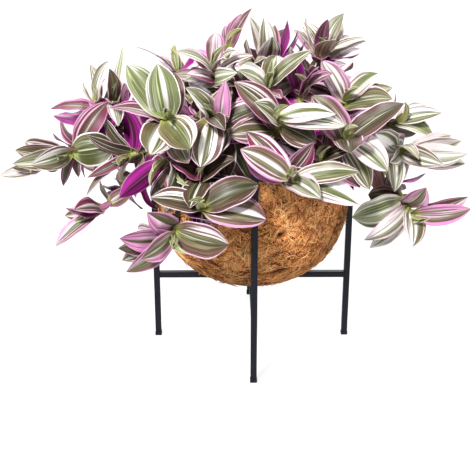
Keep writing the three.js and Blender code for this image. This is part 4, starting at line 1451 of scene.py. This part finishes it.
def felt_material():
    """Matted coir: dark gaps, partly painted shade, brown hair in swirls, pale strands, and painted
    shade in the hollows.
    """
    s = Shader("coir_felt", roughness=0.9, specular=0.1)
    place = s.place()
    hollow_and_shade = s.parts(s.attribute("tone"))[1]
    swirl = s.noise(place, 300.0, 4.0, 0.7, 2.2)
    hair = s.noise(place, 850.0, 3.0, 0.6, 1.5)
    shade = s.scaled(s.centred(s.noise(place, 45.0)), 0.35, swirl)
    base = s.mix(s.step(shade, 0.38, 0.5), "#4e1c09", "#f2a05a")
    base = s.mix(s.step(shade, 0.52, 0.66), base, "#ffd29a")
    # Dark gaps among the hairs: partly darker hair, partly painted shade in the matting
    base = s.tint(base, hair, 0.47, 0.36, 0.85, "#34140a")
    # Painted shade: the hollows go near black
    base = s.mix(hollow_and_shade, base, "#0f0603")
    return s.finish(base, s.scaled(hair, 0.5, swirl), strength=0.9, distance=0.0014)


def fibre_material():
    """Single strands, from dark brown to straw, each of its own tone."""
    s = Shader("coir_fibre", roughness=0.7, specular=0.15)
    place = s.place()
    tone = s.parts(s.attribute("tone"))[0]
    grain = s.noise(place, 1200.0)
    shade = s.scaled(s.centred(s.noise(place, 60.0, 3.0)), 0.9, tone)
    base = s.mix(s.step(shade, 0.18, 0.56), "#7e3210", "#ffbe76")
    base = s.mix(s.step(shade, 0.66, 1.05), base, "#ffdc9c")
    base = s.tint(base, grain, 0.45, 0.6, 0.2, "#b87038")
    return s.finish(base, grain, strength=0.4, distance=0.0003)


def build_bowl():
    """The felt bowl with a part of its strands, and the other strands as a piece of their own."""
    rng = np.random.default_rng(BOWL_SEED)
    outline = Outline()
    materials = [felt_material(), fibre_material()]
    lining = Pile()
    points, faces, painted_hollow_shade = bowl_body(outline, rng)
    traits = np.zeros((len(points), TRAITS))
    # The second trait holds the painted shade of the hollows
    traits[:, 1] = painted_hollow_shade
    lining.add(points, faces, 0, traits=traits)
    add_fibres(lining, outline, rng, LINING_FIBRES, 1)
    loose = Pile()
    add_fibres(loose, outline, rng, LOOSE_FIBRES, 0)
    stand_for(lining.piece("coir_lining", materials), "coir_bowl")
    stand_for(loose.piece("coir_strands", materials[1:]), "coir_bowl")


# Soil: a lumpy top, the plug under it and loose crumbs, with lengths in millimetres
SOIL_SEED = 11
SOIL_RADIUS = 115.2
SOIL_RINGS = 22
SOIL_TURNS = 72
SOIL_LUMPS = 3.2
PLUG_RINGS = 24
PLUG_START = 12
PLUG_DROP = 2
PLUG_INSET = 0.4
CRUMB_COUNT = 420
CRUMB_INSET = 4
CRUMB_SIZE = (1.2, 2.4)
CRUMB_LIFT = 0.3
CRUMB_UNEVENNESS = (0.75, 0.5)
CRUMB_LONGEST_SIDE = 1.2


def soil_material():
    s = Shader("potting_soil", roughness=0.95)
    place = s.place()
    grain = s.noise(place, 420.0, 4.0, 0.7)
    base = s.mix(s.step(grain, 0.35, 0.65), "#1c130d", "#3d2a1c")
    base = s.tint(base, s.noise(place, 60.0), 0.5, 0.75, 0.5, "#5a3f28")
    return s.finish(base, grain, strength=0.8, distance=0.001)


def crumb_shape():
    """A rough ball with twelve corners."""
    golden = (1 + math.sqrt(5)) / 2
    corners = []
    for one in (-1, 1):
        for two in (-golden, golden):
            corners += [(0, one, two), (one, two, 0), (two, 0, one)]
    corners = np.array(corners) / math.hypot(1, golden)
    faces = []
    for i in range(len(corners)):
        for j in range(i + 1, len(corners)):
            for k in range(j + 1, len(corners)):
                trio = corners[[i, j, k]]
                sides = np.linalg.norm(trio - np.roll(trio, 1, axis=0), axis=1)
                if sides.max() < CRUMB_LONGEST_SIDE:
                    outward = np.cross(trio[1] - trio[0], trio[2] - trio[0]) @ trio[0] > 0
                    faces.append((i, j, k) if outward else (i, k, j))
    return corners, faces


def build_soil():
    """A lumpy top over a plug that fills the bowl, with loose crumbs on it."""
    rng = np.random.default_rng(SOIL_SEED)
    pile = Pile()
    turns = even_turns(SOIL_TURNS)
    top = []
    for i in range(SOIL_RINGS):
        radius = SOIL_RADIUS * (1 - i / SOIL_RINGS)
        height = SOIL_TOP + SOIL_LUMPS * (rng.random(SOIL_TURNS) - 0.5) * min(1, i / 2)
        top.append(ring_points(radius, turns, height))
    outline = Outline()
    highest = outline.whole - (BOWL_RIM - SOIL_TOP) - PLUG_DROP
    plug = []
    for length in np.linspace(PLUG_START, highest, PLUG_RINGS):
        lengths = np.full(SOIL_TURNS, length)
        plug.append(outline.surface(turns, lengths, -BOWL_WALL - PLUG_INSET)[0])
    rings = np.concatenate((np.array(plug), np.array(top)))
    pile.add(rings.reshape(-1, 3), ring_faces(len(rings), SOIL_TURNS), 0)
    crumb, crumb_faces = crumb_shape()
    for i in range(CRUMB_COUNT):
        radius = (SOIL_RADIUS - CRUMB_INSET) * math.sqrt(rng.random())
        turn = 2 * math.pi * rng.random()
        size = crowded_draws(rng, CRUMB_SIZE, None, 2)
        height = SOIL_TOP + size * CRUMB_LIFT
        middle = np.array((radius * math.cos(turn), radius * math.sin(turn), height))
        uneven = crowded_draws(rng, CRUMB_UNEVENNESS, (len(crumb), 1), 1)
        pile.add(middle + crumb * size * uneven, crumb_faces, 0)
    stand_for(pile.piece("soil_filling", [soil_material()]), "soil")


# Softened edges of the stand: their widths in metres, and their steps
WELD_DISTANCE = 0.00001
BAR_BEVEL = 0.0007
FOOT_BEVEL = 0.0009
BEVEL_SEGMENTS = 3


def powder_coat_material():
    s = Shader("powder_coat", roughness=0.5, specular=0.16)
    place = s.place()
    grit = s.noise(place, 1400.0)
    base = s.mix(s.noise(place, 25.0), "#050610", "#090c18")
    base = s.tint(base, grit, 0.55, 0.75, 0.25, "#121726")
    return s.finish(base, grit, strength=0.25, distance=0.0003)


def foot_material():
    s = Shader("foot_plastic", roughness=0.6, specular=0.16)
    grain = s.noise(s.place(), 900.0)
    return s.finish(s.mix(grain, "#07080a", "#0e0f12"), grain, strength=0.2, distance=0.0003)


def dress_stand():
    """Softens the edges of the stand's own nodes and paints them."""
    paint = powder_coat_material()
    plastic = foot_material()
    for name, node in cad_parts.items():
        if not name.startswith(("leg_", "brace_", "foot_")):
            continue
        is_foot = name.startswith("foot_")
        node.data.materials.clear()
        node.data.materials.append(plastic if is_foot else paint)
        weld = node.modifiers.new("joined_corners", "WELD")
        weld.merge_threshold = WELD_DISTANCE
        bevel = node.modifiers.new("soft_edges", "BEVEL")
        bevel.width = FOOT_BEVEL if is_foot else BAR_BEVEL
        bevel.segments = BEVEL_SEGMENTS
        bevel.limit_method = "ANGLE"


# Studio: how strongly it glows, and its sizes in metres
SKY_STRENGTH = 0.05
FLOOR_GLOW = 0.76
FLOOR_SIZE = 9.0
BACKDROP_GLOW = 1.0
BACKDROP_RADIUS = 8.9
BACKDROP_TURNS = 48
BACKDROP_RISES = 12
FARTHEST_SEEN = 50.0
WHITE = (1.0, 1.0, 1.0, 1.0)


def add_camera():
    data = bpy.data.cameras.new("camera")
    data.lens = FOCAL_LENGTH
    data.sensor_width = SENSOR_WIDTH
    data.clip_end = FARTHEST_SEEN
    camera = place_object("camera", data)
    camera.location = (CAMERA_PLACE / MILLIMETRES + MIDDLE).tolist()
    camera.rotation_euler = (math.radians(90 - CAMERA_PITCH), 0.0, math.radians(CAMERA_YAW))
    bpy.context.scene.camera = camera


def add_stage(name, points, faces, material, glow):
    """A glowing piece of the studio, which lights no matt surface and casts no shade."""
    mesh = bpy.data.meshes.new(name)
    mesh.from_pydata(points, [], faces)
    surface = material.node_tree.nodes["Principled BSDF"]
    surface.inputs["Emission Color"].default_value = WHITE
    surface.inputs["Emission Strength"].default_value = glow
    mesh.materials.append(material)
    piece = place_object(name, mesh)
    piece.visible_diffuse = False
    piece.visible_shadow = False
    return piece


def add_floor():
    size = FLOOR_SIZE
    corners = [(-size, -size, 0), (size, -size, 0), (size, size, 0), (-size, size, 0)]
    s = Shader("floor_paint", roughness=0.9)
    material = s.finish(s.mix(s.noise(s.place(), 3.0), "#7a7a7a", "#7e7e7e"))
    add_stage("floor", corners, [(0, 1, 2, 3)], material, FLOOR_GLOW)


def add_backdrop():
    """A white dome round the floor, that lets the lights through."""
    turns, rises = BACKDROP_TURNS, BACKDROP_RISES
    points = []
    for i in range(rises):
        rise = math.pi / 2 * i / rises
        out = BACKDROP_RADIUS * math.cos(rise)
        height = BACKDROP_RADIUS * math.sin(rise)
        for j in range(turns):
            turn = 2 * math.pi * j / turns
            points.append((out * math.cos(turn), out * math.sin(turn), height))
    points.append((0.0, 0.0, BACKDROP_RADIUS))
    faces = []
    for i in range(rises - 1):
        for j in range(turns):
            one = i * turns + j
            two = i * turns + (j + 1) % turns
            faces.append((two, one, one + turns, two + turns))
    top = (rises - 1) * turns
    for j in range(turns):
        faces.append((top + (j + 1) % turns, top + j, len(points) - 1))
    s = Shader("backdrop_paint", roughness=1.0)
    material = s.finish(s.mix(s.noise(s.place(), 2.0), "#202020", "#242424"))
    backdrop = add_stage("backdrop", points, faces, material, BACKDROP_GLOW)
    backdrop.visible_glossy = False


def add_world():
    world = bpy.data.worlds.new("studio")
    world.use_nodes = True
    back = world.node_tree.nodes["Background"]
    back.inputs["Color"].default_value = WHITE
    back.inputs["Strength"].default_value = SKY_STRENGTH
    bpy.context.scene.world = world


def add_sun(name, toward, power, softness, tint):
    """A distant soft light. toward: the way to the light. softness: its angle in degrees."""
    data = bpy.data.lights.new(name, "SUN")
    data.energy = power
    data.angle = math.radians(softness)
    data.color = tint
    light = place_object(name, data)
    light.rotation_euler = mathutils.Vector(toward).to_track_quat("Z", "Y").to_euler()
    light.location = toward


build_bowl()
build_soil()
dress_stand()
build_shoots()
add_camera()
add_floor()
add_backdrop()
add_world()
add_sun("key", (-0.45, -0.88, 1.02), 5.4, 10, (1.0, 0.995, 0.985))
add_sun("right", (1.0, -0.35, 0.55), 2.1, 30, (0.98, 0.99, 1.0))
add_sun("left", (-1.0, 0.15, 0.45), 1.9, 40, (0.98, 0.99, 1.0))
add_sun("rear", (0.1, 1.0, 0.1), 1.5, 40, (1.0, 1.0, 1.0))
add_sun("bounce", (0.1, -0.85, -0.6), 1.7, 30, (1.0, 0.99, 0.98))
add_sun("back", (0.15, 0.8, 0.85), 3.4, 40, (1.0, 1.0, 1.0))
bpy.context.scene.view_settings.view_transform = "Standard"
bpy.context.scene.view_settings.look = "None"
